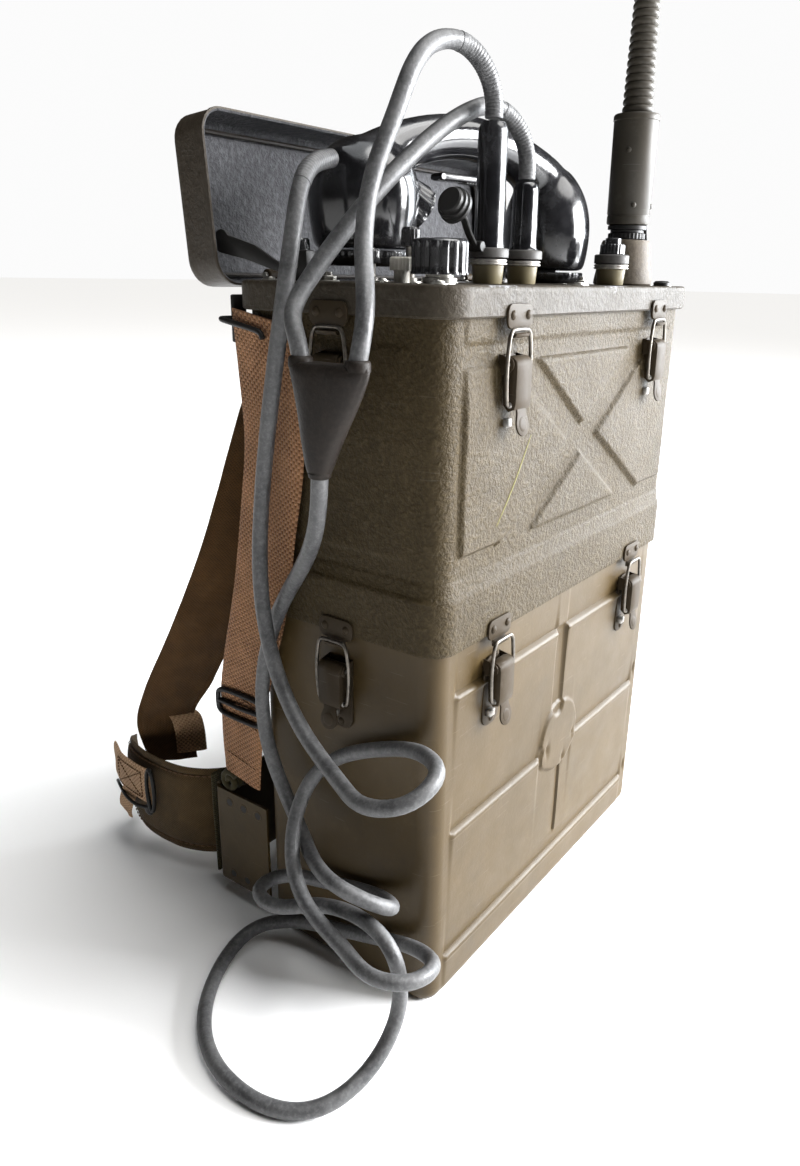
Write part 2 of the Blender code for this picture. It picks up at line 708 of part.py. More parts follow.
wire("handset_cord", RUBBER, cord_path(HANDSET_CORD, 78), CORD_R)
wire("plug_lead_long", RUBBER, cord_path(LONG_LEAD, 14), CORD_R)
wire("plug_lead_short", RUBBER, cord_path(SHORT_LEAD, 14), CORD_R)


def junction_build(bm):
    """Moulded Y joint: a flattened body, wide where the two leads enter."""
    rows = ((341.6, -19, 7.5, 6.0), (352, -20, 9.5, 7.5), (368, -23, 15, 8.5),
            (384, -25.5, 21, 9.0), (395.0, -26, 24.5, 8.5))
    rings = []
    for z, y, half_y, half_x in rows:
        rings.append([((-190 + half_x * cos(a)) * MM, (y + half_y * sin(a)) * MM,
                       z * MM) for a in (2 * pi * k / 14 for k in range(14))])
    add_loft(bm, rings)


solid("cord_junction", RUBBER, junction_build)


# --- harness -----------------------------------------------------------------------------
def ribbon(bm, rows, thickness):
    """Flat strap through (centre, half-width vector, face direction) rows."""
    rings = []
    for centre, half, face in rows:
        c, h = Vector(centre) * MM, Vector(half) * MM
        f = Vector(face).normalized() * thickness / 2
        rings.append([c - h - f, c + h - f, c + h + f, c - h + f])
    add_loft(bm, rings)


BACK = CASE_D / 2 + GAP
FRAME_Y, FRAME_Z = 0.1210, (0.0140, 0.0900)


def frame_build(bm):
    """Steel tray behind the battery case: two wings and a back plate."""
    half, deep = CASE_W / 2, 0.002
    outline = [(-half, BACK), (-half, FRAME_Y), (half, FRAME_Y), (half, BACK),
               (half - deep, BACK), (half - deep, FRAME_Y - deep),
               (-half + deep, FRAME_Y - deep), (-half + deep, BACK)]
    add_plate(bm, outline, 2, *FRAME_Z)


def frame_holes(bm):
    turn = Matrix.Rotation(pi / 2, 3, 'Y')
    for y in (0.078, 0.092, 0.106):
        for z in (0.0215, 0.0815):
            for side in (-1, 1):
                add_cylinder(bm, 0.0026, -0.01, 0.01, turn=turn, segments=10,
                             centre=(side * CASE_W / 2, y, z))


frame = solid("harness_frame", OLIVE, frame_build)
combine(frame, "frame_holes", frame_holes, 'DIFFERENCE')

solid("back_pad", CANVAS, lambda bm: add_rounded(
    bm, (0.262, 0.022, 0.170), (0, BACK + CASE_GROW + BAND_GROW + 0.011, 0.320), 0.009, 4,
    axis=0))


def mirrored(rows, side):
    """Left-hand rows, or their mirror image for the right-hand strap."""
    return [((side * c[0], c[1], c[2]), (side * h[0], h[1], h[2]), (side * f[0], f[1], f[2]))
            for c, h, f in rows]


SIDE_STRAP = (((-159.2, 49, 413), (0, 23, 4), (1, 0, 0)), ((-159.2, 44, 340), (0, 23, 3), (1, 0, 0)),
              ((-159.2, 62, 240), (0, 22, 4), (1, 0, 0)), ((-159.2, 80, 172), (0, 20, 5), (1, 0, 0)),
              ((-159.2, 84, 112), (0, 16, 3), (1, 0, 0)))
SHOULDER_STRAP = (((-84, 99, 398), (24, 0, 0), (0, 1, 0.3)),
                  ((-92, 112, 350), (24, -6, 0), (0.3, 1, 0.3)),
                  ((-108, 128, 270), (20, -14, 0), (0.6, 1, 0.2)),
                  ((-118, 156, 200), (19, -16, 0), (0.7, 1, 0.3)),
                  ((-124, 188, 140), (18, -17, 0), (0.8, 1, 0.3)),
                  ((-127, 206, 98), (17, -15, 0), (0.8, 1, 0.3)))
WAIST_PAD = (((-120, 127, 54), (0, 0, 34), (-0.5, -1, 0)), ((-138, 138, 54), (0, 0, 36), (-1, -1, 0)),
             ((-150, 158, 54), (0, 0, 36), (-1, -0.3, 0)), ((-153, 185, 53), (0, 0, 36), (-1, 0, 0)),
             ((-150, 212, 52), (0, 0, 36), (-1, 0.3, 0)), ((-140, 234, 51), (0, 0, 33), (-1, 0.8, 0)),
             ((-128, 244, 50), (0, 0, 28), (-0.5, 1, 0)))
for tag, side in (("left", 1), ("right", -1)):
    solid("side_strap_" + tag, TAN,
          lambda bm, side=side: ribbon(bm, mirrored(SIDE_STRAP, side), 0.0024))
    solid("shoulder_strap_" + tag, CANVAS,
          lambda bm, side=side: ribbon(bm, mirrored(SHOULDER_STRAP, side), 0.005))
    solid("waist_pad_" + tag, CANVAS,
          lambda bm, side=side: ribbon(bm, mirrored(WAIST_PAD, side), 0.009))

    def hook_plate(bm, side=side):
        add_box(bm, (0.010, 0.0030, 0.026), (side * -0.150, 0.0765, 0.4110))

    hook = solid("strap_hook_" + tag, BLACK_PAINT, hook_plate)
    reach = [(-150, 77, 411), (-160, 78.5, 411), (-163, 75, 410.5), (-163, 60, 408),
             (-163, 48, 405.5), (-163, 45, 402)]
    bar = curve_to_mesh(wire("hook_bar_" + tag, None, mm(*[(side * x, y, z)
                                                          for x, y, z in reach]),
                             0.0016, 1, collection=TOOLS))
    bar.hide_render, bar.display_type = True, 'WIRE'
    step = hook.modifiers.new("union", 'BOOLEAN')
    step.operation, step.object, step.solver = 'UNION', bar, 'EXACT'

    def buckle_build(bm, side=side):
        add_box(bm, (0.0020, 0.046, 0.022), (side * -0.1618, 0.080, 0.168))

    buckle = solid("strap_buckle_" + tag, BLACK_PAINT, buckle_build)
    combine(buckle, "buckle_window_" + tag, lambda bm, side=side: add_box(
        bm, (0.008, 0.036, 0.012), (side * -0.1618, 0.080, 0.168)), 'DIFFERENCE')

BELT = (((-161.5, 186, 64), (0, 0, 20), (-1, 0, 0)), ((-161, 205, 64), (0, 0, 20), (-1, 0.1, 0)),
        ((-157.5, 224, 64), (0, 0, 20), (-1, 0.35, 0)), ((-149.5, 242, 64), (0, 0, 20), (-1, 0.8, 0)))
solid("belt_webbing_left", TAN, lambda bm: ribbon(bm, BELT, 0.003))

# --- finish ------------------------------------------------------------------------------
for made in PARTS.objects:
    if made.type == 'MESH':
        made.data.shade_smooth()
        made.data.set_sharp_from_angle(angle=radians(35))
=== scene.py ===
"""Looks of the back-carried radio set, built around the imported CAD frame.  Metres, +Z up."""
import json
from math import cos, exp, pi, radians, sin, sqrt

import bmesh
import bpy
import numpy as np
from mathutils import Matrix, Vector, noise


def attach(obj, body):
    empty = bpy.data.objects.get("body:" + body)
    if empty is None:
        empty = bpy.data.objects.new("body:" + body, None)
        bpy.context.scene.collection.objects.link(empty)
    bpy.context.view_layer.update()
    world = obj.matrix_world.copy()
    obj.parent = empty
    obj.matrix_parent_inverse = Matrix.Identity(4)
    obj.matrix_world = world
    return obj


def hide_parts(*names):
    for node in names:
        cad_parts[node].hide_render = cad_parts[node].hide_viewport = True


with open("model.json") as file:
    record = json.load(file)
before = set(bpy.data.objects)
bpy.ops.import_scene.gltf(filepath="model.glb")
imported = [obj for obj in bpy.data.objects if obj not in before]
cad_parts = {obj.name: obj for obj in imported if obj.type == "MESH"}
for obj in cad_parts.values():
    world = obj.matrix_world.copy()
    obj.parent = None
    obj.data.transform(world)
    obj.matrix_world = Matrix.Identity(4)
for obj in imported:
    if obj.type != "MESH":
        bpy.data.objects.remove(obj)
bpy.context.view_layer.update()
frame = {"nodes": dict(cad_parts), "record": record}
MM = 0.001

# --- sizes shared with the CAD ----------------------------------------------------------------
CASE_W, CASE_D, CASE_R = 0.3066, 0.1362, 0.012
CASE_GROW, BAND_GROW, PANEL_GROW = 0.001, 0.0036, 0.0061
BATTERY_TOP = 0.2395
BAND_Z = (0.2398, 0.2717)
PANEL_Z = (0.4163, 0.4320)
DECK = PANEL_Z[1]
CORD_D = 0.009
FRONT, LEFT, RIGHT = 0.0, radians(-90), radians(90)


# --- camera, floor and light --------------------------------------------------------------
def add_camera():
    """Eye just above the panel, off the front left corner, in portrait format."""
    data = bpy.data.cameras.new("view")
    data.sensor_width = 36.0
    data.lens = 27.05
    data.shift_x, data.shift_y = -0.0178, -0.0012
    data.clip_start = 0.01
    made = bpy.data.objects.new("view", data)
    made.location = (-0.5107, -0.3107, 0.4358)
    made.rotation_euler = (radians(70.7527), radians(-1.0812), radians(-54.1619))
    bpy.context.scene.collection.objects.link(made)
    bpy.context.scene.camera = made


def add_area(name, location, target, size, power, colour):
    data = bpy.data.lights.new(name, 'AREA')
    data.shape = 'RECTANGLE'
    data.size, data.size_y = size
    data.energy = power
    data.color = colour
    made = bpy.data.objects.new(name, data)
    made.location = location
    made.rotation_euler = (Vector(target) - Vector(location)).to_track_quat('-Z', 'Y').to_euler()
    bpy.context.scene.collection.objects.link(made)


def add_sun(direction, strength, spread, colour):
    """Very soft parallel light, which leaves the floor evenly pale."""
    data = bpy.data.lights.new("sky", 'SUN')
    data.energy = strength
    data.angle = radians(spread)
    data.color = colour
    made = bpy.data.objects.new("sky", data)
    made.rotation_euler = Vector(direction).to_track_quat('Z', 'Y').to_euler()
    bpy.context.scene.collection.objects.link(made)


def add_world():
    world = bpy.data.worlds.new("studio")
    bpy.context.scene.world = world
    world.use_nodes = True
    tree = world.node_tree
    tree.nodes.clear()
    out = tree.nodes.new("ShaderNodeOutputWorld")
    dim = tree.nodes.new("ShaderNodeBackground")
    dim.inputs[0].default_value = (1.0, 0.93, 0.84, 1)
    dim.inputs[1].default_value = 0.03
    clear = tree.nodes.new("ShaderNodeBackground")
    clear.inputs[0].default_value = (1, 1, 1, 1)
    clear.inputs[1].default_value = 0.97
    path = tree.nodes.new("ShaderNodeLightPath")
    mix = tree.nodes.new("ShaderNodeMixShader")
    tree.links.new(path.outputs["Is Camera Ray"], mix.inputs[0])
    tree.links.new(dim.outputs[0], mix.inputs[1])
    tree.links.new(clear.outputs[0], mix.inputs[2])
    tree.links.new(mix.outputs[0], out.inputs[0])


bpy.context.scene.view_settings.view_transform = 'Standard'
add_camera()
add_world()
add_sun((0.30, -0.45, 1.0), 3.5, 50, (1.0, 0.99, 0.97))
add_area("window", (1.9, -2.5, 1.15), (0, 0, 0.28), (1.9, 1.6), 490, (0.97, 0.98, 1.0))
add_area("side_window", (2.6, -1.25, 0.9), (0, 0, 0.30), (1.8, 1.6), 170, (0.90, 0.95, 1.0))
add_area("top", (0.1, -0.2, 2.4), (0, 0, 0.4), (1.8, 1.4), 14, (0.93, 0.97, 1.0))


# --- node materials -------------------------------------------------------------------------
def srgb(r, g, b):
    return tuple(((c / 255 + 0.055) / 1.055) ** 2.4 if c > 10.31 else c / 255 / 12.92
                 for c in (r, g, b))


class Nodes:
    """Short hand for building one material's node tree."""

    def __init__(self, name, colour=(0.5, 0.5, 0.5), roughness=0.5, metallic=0.0):
        self.mat = bpy.data.materials.new(name)
        self.mat.use_nodes = True
        self.tree = self.mat.node_tree
        self.shader = self.tree.nodes["Principled BSDF"]
        self.put("Base Color", (*colour, 1.0))
        self.put("Roughness", roughness)
        self.put("Metallic", metallic)
        self.coords = self.tree.nodes.new("ShaderNodeTexCoord").outputs["Object"]

    def put(self, socket, value):
        """Set or link one of the shader's sockets."""
        self.feed(self.shader.inputs[socket], value)

    def feed(self, socket, value):
        if isinstance(value, bpy.types.NodeSocket):
            self.tree.links.new(value, socket)
        elif isinstance(value, (tuple, list)) and len(value) == 3 and socket.type == 'RGBA':
            socket.default_value = (*value, 1.0)
        else:
            socket.default_value = value

    def stretch(self, scale, turn=(0, 0, 0)):
        node = self.tree.nodes.new("ShaderNodeMapping")
        self.feed(node.inputs["Vector"], self.coords)
        node.inputs["Scale"].default_value = scale
        node.inputs["Rotation"].default_value = turn
        return node.outputs[0]

    def noise(self, scale, detail=3.0, rough=0.55, vector=None, distort=0.0):
        node = self.tree.nodes.new("ShaderNodeTexNoise")
        self.feed(node.inputs["Vector"], vector or self.coords)
        node.inputs["Scale"].default_value = scale
        node.inputs["Detail"].default_value = detail
        node.inputs["Roughness"].default_value = rough
        node.inputs["Distortion"].default_value = distort
        return node.outputs["Fac"]

    def ramp(self, value, *stops):
        """Map a value through (place, colour or level) stops."""
        node = self.tree.nodes.new("ShaderNodeValToRGB")
        band = node.color_ramp
        while len(band.elements) < len(stops):
            band.elements.new(0.5)
        for element, (place, level) in zip(band.elements, stops):
            element.position = place
            element.color = (*level, 1) if isinstance(level, tuple) else (level,) * 3 + (1,)
        self.feed(node.inputs[0], value)
        return node.outputs[0]

    def math(self, kind, a, b=0.0):
        node = self.tree.nodes.new("ShaderNodeMath")
        node.operation = kind
        self.feed(node.inputs[0], a)
        self.feed(node.inputs[1], b)
        return node.outputs[0]

    def mix(self, amount, a, b):
        node = self.tree.nodes.new("ShaderNodeMix")
        node.data_type = 'RGBA'
        self.feed(node.inputs["Factor"], amount)
        self.feed(node.inputs[6], a)
        self.feed(node.inputs[7], b)
        return node.outputs[2]

    def attribute(self, name):
        node = self.tree.nodes.new("ShaderNodeAttribute")
        node.attribute_name = name
        return node.outputs["Fac"]

    def uv(self):
        node = self.tree.nodes.new("ShaderNodeUVMap")
        node.uv_map = "UVMap"
        return node.outputs[0]

    def split(self, vector):
        node = self.tree.nodes.new("ShaderNodeSeparateXYZ")
        self.feed(node.inputs[0], vector)
        return node.outputs

    def bump(self, height, distance, strength=1.0):
        node = self.tree.nodes.new("ShaderNodeBump")
        node.inputs["Distance"].default_value = distance
        node.inputs["Strength"].default_value = strength
        self.feed(node.inputs["Height"], height)
        self.put("Normal", node.outputs[0])


def paint_material(name, colour, rough, grain, grain_depth, wear_at=0.6, chips=0.5, dust=0.25,
                   bare=(0.46, 0.44, 0.41), crinkle=0.0, gloss=0.2):
    """Old enamel: tone drift, dust, fine scratches, grain, and bare metal where 'wear' says.
    Crinkle, from 0 to 1, paints shade into the hollows of the grain and lightens its tops with dust
    and painted highlight."""
    n = Nodes(name, colour, rough)
    light = tuple(c * 1.35 + 0.003 for c in colour)
    dark = tuple(c * 0.70 for c in colour)
    base = n.mix(n.ramp(n.noise(9, 4, 0.6), (0.3, 0.0), (0.7, 1.0)), dark, light)
    base = n.mix(0.45, colour, base)
    spots = n.ramp(n.noise(70, 5, 0.7), (0.58, 0.0), (0.75, 1.0))
    base = n.mix(n.math('MULTIPLY', spots, dust), base, tuple(c * 1.4 + 0.03 for c in colour))
    dirt = n.ramp(n.noise(26, 6, 0.75), (0.25, 1.0), (0.45, 0.0))
    base = n.mix(n.math('MULTIPLY', dirt, 0.40), base, tuple(c * 0.45 for c in colour))
    marks = n.noise(30, 2, 0.5, n.stretch((1, 1, 22), (0.5, 0.3, 0.9)))
    scratch = n.ramp(marks, (0.70, 0.0), (0.735, 1.0), (0.77, 0.0))
    base = n.mix(n.math('MULTIPLY', scratch, 0.35), base, tuple(c * 1.2 + 0.08 for c in colour))
    surface = n.mix(0.72, n.noise(grain, 3, 0.55, None, 0.6), n.noise(grain * 0.45, 3, 0.6))
    if crinkle:
        surface = n.ramp(surface, (0.36, 0.0), (0.64, 1.0))
        # painted shade in the grain's hollows, and painted highlight with dust on its tops, both
        # following the bump height
        pit_shade = n.math('MULTIPLY', n.math('SUBTRACT', 1.0, surface), 0.55 * crinkle)
        base = n.mix(pit_shade, base, tuple(c * 0.35 for c in colour))
        peak_highlight_and_dust = n.math('MULTIPLY', n.math('POWER', surface, 3.0), 0.22 * crinkle)
        base = n.mix(peak_highlight_and_dust, base, tuple(c * 1.9 + 0.03 for c in colour))
    wear = n.math('ADD', n.attribute("wear"), n.math('MULTIPLY', n.noise(190, 5, 0.75), chips))
    worn = n.ramp(wear, (wear_at, 0.0), (wear_at + 0.07, 1.0))
    base = n.mix(worn, base, bare)
    n.put("Base Color", base)
    n.put("Metallic", n.math('MULTIPLY', worn, 0.75))
    n.shader.inputs["Specular IOR Level"].default_value = gloss
    n.put("Roughness", n.math('ADD', n.math('MULTIPLY', n.noise(45, 4, 0.6), 0.22),
                              rough - 0.11))
    n.bump(surface, grain_depth)
    return n.mat


# crinkle= sets how much shade is painted into the grain's hollows and how much highlight and dust
# onto its tops
OLIVE = paint_material("olive_paint", srgb(59, 46, 22), 0.44, 900, 0.00010, 0.80, 0.42, 0.2)
CRINKLE = paint_material("olive_crinkle", srgb(54, 44, 24), 0.52, 880, 0.00042, 0.80, 0.42, 0.3,
                         crinkle=0.9, gloss=0.13)
FLANGE = paint_material("flange_paint", srgb(50, 44, 35), 0.52, 640, 0.00030, 0.72, 0.62, 0.4,
                        (0.26, 0.26, 0.27), 0.6, 0.14)
GREY = paint_material("lid_grey", srgb(64, 64, 66), 0.85, 560, 0.0006, 0.95, 0.3, 0.25,
                      crinkle=0.8)
LID_OUT = paint_material("lid_olive", srgb(54, 47, 38), 0.5, 500, 0.0002, 0.84, 0.4, 0.2,
                         crinkle=0.3)
HARDWARE = paint_material("latch_paint", srgb(48, 40, 29), 0.46, 700, 0.0001, 0.76, 0.5, 0.3,
                          (0.24, 0.23, 0.21), gloss=0.08)
SLEEVE = paint_material("sleeve_paint", srgb(54, 50, 43), 0.42, 700, 0.0001, 0.86, 0.4, 0.25)
BLACK_PAINT = paint_material("black_paint", srgb(26, 25, 24), 0.42, 500, 0.0001, 0.86, 0.4, 0.3,
                             (0.30, 0.29, 0.28))
PALE_METAL = paint_material("pale_metal", srgb(186, 182, 172), 0.5, 500, 0.0001, 0.9, 0.3, 0.2)
SOCKET_PAINT = paint_material("socket_paint", srgb(96, 88, 66), 0.36, 600, 0.0001, 0.70, 0.5,
                              0.3, (0.50, 0.47, 0.42))
PLUG_RING = paint_material("plug_ring", srgb(62, 60, 58), 0.5, 500, 0.0001, 0.85, 0.4, 0.4,
                           (0.32, 0.31, 0.30))
# painted shade: a near-black finish laid on as thin bars and discs where slots and holes would be;
# nothing is cut
RECESS_SHADE = Nodes("painted_recess_shade", (0.012, 0.011, 0.010), 0.7).mat


def steel_material(name, colour, rough):
    n = Nodes(name, colour, rough, 0.9)
    base = n.mix(n.ramp(n.noise(160, 5, 0.7), (0.35, 0.0), (0.65, 1.0)),
                 tuple(c * 0.45 for c in colour), colour)
    rust = n.ramp(n.noise(240, 4, 0.7), (0.6, 0.0), (0.72, 1.0))
    n.put("Base Color", n.mix(n.math('MULTIPLY', rust, 0.5), base, (0.16, 0.10, 0.06)))
    n.put("Roughness", n.math('ADD', n.math('MULTIPLY', n.noise(300, 3), 0.3), rough - 0.1))
    n.bump(n.noise(900, 3), 0.00005)
    return n.mat


STEEL = steel_material("worn_steel", (0.42, 0.40, 0.37), 0.38)
WIRE = steel_material("wire_steel", (0.16, 0.145, 0.125), 0.34)
NICKEL = steel_material("dull_nickel", (0.60, 0.58, 0.53), 0.30)


def moulding_material(name, rough, dust):
    """Polished black phenolic with patchy dust haze and hair scratches."""
    n = Nodes(name, (0.008, 0.008, 0.009), rough)
    haze = n.ramp(n.noise(38, 6, 0.75), (0.45, 0.0), (0.75, 1.0))
    n.put("Base Color", n.mix(n.math('MULTIPLY', haze, dust), (0.007, 0.007, 0.008),
                              (0.11, 0.11, 0.115)))
    hair = n.noise(160, 2, 0.5, n.stretch((1, 14, 1), (0.2, 0.5, 0.4)))
    n.put("Roughness", n.math('ADD', n.math('MULTIPLY', haze, 0.14),
                              n.math('ADD', n.math('MULTIPLY', hair, 0.05), rough - 0.03)))
    n.shader.inputs["Specular IOR Level"].default_value = 0.65
    n.bump(n.noise(40, 1), 0.00006, 0.3)
    return n.mat


BLACK = moulding_material("black_moulding", 0.13, 0.24)
BLACK_KNOB = moulding_material("black_knob", 0.20, 0.25)


def rubber_material(name, colour, dusty, rough=0.52, amount=0.5, gloss=0.4):
    n = Nodes(name, colour, rough)
    n.shader.inputs["Specular IOR Level"].default_value = gloss
    patch = n.ramp(n.noise(55, 6, 0.72), (0.38, 0.0), (0.64, 1.0))
    fine = n.ramp(n.noise(420, 4, 0.7), (0.45, 0.0), (0.7, 1.0))
    base = n.mix(n.math('MULTIPLY', patch, amount), colour, dusty)
    n.put("Base Color", n.mix(n.math('MULTIPLY', fine, 0.35), base, tuple(c * 1.5 for c in dusty)))
    n.put("Roughness", n.math('ADD', n.math('MULTIPLY', patch, 0.15), rough - 0.06))
    n.bump(n.mix(0.5, n.noise(520, 4, 0.65), n.noise(130, 3, 0.6)), 0.00035)
    return n.mat


RUBBER = rubber_material("cord_rubber", srgb(54, 54, 55), srgb(96, 96, 96), 0.46)
JOINT_RUBBER = rubber_material("junction_rubber", srgb(24, 20, 17), srgb(40, 35, 31), 0.50,
                               gloss=0.15)
CONE_RUBBER = rubber_material("base_rubber", srgb(62, 55, 46), srgb(88, 80, 69), 0.6,
                              gloss=0.2)


def weave_material(name, warp, weft, pitch, depth, rough=0.85, grime=0.3):
    """Woven cloth from the strap's own UV in metres: threads pitch apart, over and under."""
    n = Nodes(name, warp, rough)
    across, along, _ = n.split(n.uv())
    k = pi / pitch
    a = n.math('SINE', n.math('MULTIPLY', across, k))
    b = n.math('SINE', n.math('MULTIPLY', along, k))
    cross = n.math('MULTIPLY', a, b)
    pick = n.math('ADD', n.math('MULTIPLY', cross, 0.5), 0.5)
    fuzz = n.noise(1500, 3, 0.7)
    base = n.mix(n.ramp(pick, (0.3, 0.0), (0.7, 1.0)), weft, warp)
    worn = n.ramp(n.noise(60, 5, 0.7), (0.4, 0.0), (0.7, 1.0))
    base = n.mix(n.math('MULTIPLY', worn, 0.3), base, tuple(min(1, c * 1.7) for c in warp))
    dirt = n.ramp(n.noise(35, 5, 0.7), (0.3, 1.0), (0.55, 0.0))
    base = n.mix(n.math('MULTIPLY', dirt, grime), base, tuple(c * 0.4 for c in warp))
    n.put("Base Color", n.mix(n.math('MULTIPLY', fuzz, 0.25), base, tuple(c * 0.6 for c in weft)))
    n.shader.inputs["Sheen Weight"].default_value = 0.10
    n.shader.inputs["Specular IOR Level"].default_value = 0.12
    n.bump(n.math('ADD', n.math('ABSOLUTE', cross), n.math('MULTIPLY', fuzz, 0.4)), depth)
    return n.mat


TAN = weave_material("tan_webbing", srgb(154, 114, 82), srgb(98, 67, 43), 0.0018, 0.0005)
BELT_TAN = weave_material("belt_webbing", srgb(190, 156, 122), srgb(140, 108, 80), 0.0017, 0.0004)
CANVAS = weave_material("olive_canvas", srgb(84, 66, 40), srgb(60, 46, 26), 0.0009, 0.0002)
STRAP_CANVAS = weave_material("strap_canvas", srgb(88, 62, 32), srgb(62, 43, 21), 0.0011, 0.0003)
DARK_WEB = weave_material("dark_webbing", srgb(62, 56, 34), srgb(44, 40, 24), 0.0016, 0.0004)
THREAD = Nodes("stitch_thread", srgb(92, 66, 42), 0.8).mat


# --- mesh helpers -----------------------------------------------------------------------------
def turned(x=0.0, y=0.0, z=0.0):
    """Rotation about X, then Y, then Z, in degrees."""
    return (Matrix.Rotation(radians(z), 4, 'Z') @ Matrix.Rotation(radians(y), 4, 'Y')
            @ Matrix.Rotation(radians(x), 4, 'X'))


def at(x, y, z, turn=None):
    """Placement matrix: a turn, then a move."""
    return Matrix.Translation((x, y, z)) @ (turn or Matrix.Identity(4))


class Build:
    """Collects shapes of several materials into one piece."""

    def __init__(self, place=None):
        self.bm = bmesh.new()
        self.mats = []
        self.place = place or Matrix.Identity(4)

    def take(self, part, mat, place=None):
        """Add a bmesh to the piece, moved by its own placement and then the piece's."""
        if mat not in self.mats:
            self.mats.append(mat)
        bmesh.ops.recalc_face_normals(part, faces=part.faces)
        for face in part.faces:
            face.material_index = self.mats.index(mat)
        part.transform(self.place @ (place or Matrix.Identity(4)))
        mesh = bpy.data.meshes.new("scratch")
        part.to_mesh(mesh)
        part.free()
        self.bm.from_mesh(mesh)
        bpy.data.meshes.remove(mesh)

    def faces(self, verts, faces, mat, place=None):
        part = bmesh.new()
        made = [part.verts.new(tuple(v)) for v in verts]
        for face in faces:
            part.faces.new([made[i] for i in face])
        self.take(part, mat, place)

    def box(self, size, centre, mat, bevel=0.0005, turn=None, segments=2):
        part = bmesh.new()
        bmesh.ops.create_cube(part, size=1.0)
        bmesh.ops.scale(part, verts=part.verts, vec=size)
        if bevel:
            bmesh.ops.bevel(part, geom=part.edges[:], offset=min(bevel, min(size) * 0.45),
                            segments=segments, profile=0.5, affect='EDGES')
        self.take(part, mat, at(*centre, turn))

    def lathe(self, rows, mat, place=None, segments=40, ripple=None):
        """Solid of revolution from (radius, z) rows; ripple(angle, z) scales the radius."""
        rings = []
        for r, z in rows:
            spin = [2 * pi * k / segments for k in range(segments)]
            rings.append([(r * (ripple(a, z) if ripple else 1) * cos(a),
                           r * (ripple(a, z) if ripple else 1) * sin(a), z) for a in spin])
        self.faces(*rings_to_mesh(rings), mat, place)

    def tube(self, points, radius, mat, sides=12, profile=None, squeeze=None):
        self.faces(*rings_to_mesh(tube_rings(points, radius, sides, profile, squeeze)), mat)

    def plate(self, outline, thick, mat, place=None, bevel=0.0003):
        """Flat outline in its own XY, with thickness along Z from 0."""
        part = bmesh.new()
        face = part.faces.new([part.verts.new((u, v, 0.0)) for u, v in outline])
        moved = bmesh.ops.extrude_face_region(part, geom=[face])["geom"]
        bmesh.ops.translate(part, vec=(0, 0, thick),
                            verts=[v for v in moved if isinstance(v, bmesh.types.BMVert)])
        if bevel:
            rims = [e for e in part.edges if abs(e.verts[0].co.z - e.verts[1].co.z) < 1e-9]
            bmesh.ops.bevel(part, geom=rims, offset=bevel, segments=2, profile=0.5,
                            affect='EDGES')
        self.take(part, mat, place)

    def rivet(self, radius, height, mat, place, segments=18):
        """Domed head on its own XY plane."""
        rows = [(radius * cos(a), height * sin(a)) for a in (radians(d) for d in
                                                             (0, 25, 50, 72))]
        self.lathe([(radius, -0.0004)] + rows + [(0.0001, height)], mat, place, segments)

    def screw(self, radius, height, mat, place, slot_angle=30):
        """Cheese head with a slot, the slot a thin bar of painted shade laid on the head."""
        self.lathe([(radius, -0.0003), (radius, height * 0.7), (radius * 0.86, height),
                    (0.0001, height)], mat, place, 20)
        # the slot: a thin near-black bar of painted shade on top of the head
        turn = turned(z=slot_angle)
        part = bmesh.new()
        bmesh.ops.create_cube(part, size=1.0)
        bmesh.ops.scale(part, verts=part.verts, vec=(radius * 1.6, radius * 0.26, 0.0004))
        self.take(part, RECESS_SHADE, place @ at(0, 0, height, turn))

    def nut(self, radius, height, mat, place):
        ring = [(radius * cos(pi * k / 3), radius * sin(pi * k / 3)) for k in range(6)]
        self.plate(ring, height, mat, place, 0.0004)

    def done(self, name, body='root', slot=None, smooth=35, replaces=()):
        mesh = bpy.data.meshes.new(name)
        self.bm.to_mesh(mesh)
        self.bm.free()
        for mat in self.mats:
            mesh.materials.append(mat)
        return settle(mesh, name, body, smooth, replaces)


def settle(mesh, name, body, smooth, replaces=()):
    """Object from a finished mesh, on its body, standing for its CAD nodes."""
    mesh.shade_smooth()
    if smooth:
        mesh.set_sharp_from_angle(angle=radians(smooth))
    made = bpy.data.objects.new(name, mesh)
    bpy.context.scene.collection.objects.link(made)
    if body:
        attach(made, body)
    if replaces:
        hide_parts(*replaces)
    return made


def grid_mesh(name, points, mat, caps=(False, False), uv=None, wear=None):
    """Mesh from a (rows, columns, 3) array; uv is a matching (rows, columns, 2) array."""
    rows, cols = points.shape[:2]
    index = np.arange(rows * cols).reshape(rows, cols)
    nxt = np.roll(index, -1, axis=1)
    quads = np.stack([index[:-1], nxt[:-1], nxt[1:], index[1:]], -1).reshape(-1, 4)
    faces = quads.tolist()
    if caps[0]:
        faces.append(index[0, ::-1].tolist())
    if caps[1]:
        faces.append(index[-1].tolist())
    mesh = bpy.data.meshes.new(name)
    mesh.from_pydata(points.reshape(-1, 3).tolist(), [], faces)
    mesh.materials.append(mat)
    if wear is not None:
        mesh.attributes.new("wear", 'FLOAT', 'POINT').data.foreach_set(
            "value", np.ascontiguousarray(wear.reshape(-1), dtype=np.float32))
    if uv is not None:
        layer = mesh.uv_layers.new(name="UVMap")
        corner = np.empty(len(mesh.loops), dtype=np.int32)
        mesh.loops.foreach_get("vertex_index", corner)
        layer.data.foreach_set("uv", uv.reshape(-1, 2)[corner].astype(np.float32).reshape(-1))
    return mesh


def rings_to_mesh(rings, caps=True):
    """Vertices and quads through rows of points."""
    count = len(rings[0])
    verts = [p for ring in rings for p in ring]
    faces = []
    for r in range(len(rings) - 1):
        for i in range(count):
            j = (i + 1) % count
            faces.append((r * count + i, r * count + j, (r + 1) * count + j,
                          (r + 1) * count + i))
    if caps:
        faces.append(tuple(range(count))[::-1])
        last = (len(rings) - 1) * count
        faces.append(tuple(range(last, last + count)))
    return verts, faces


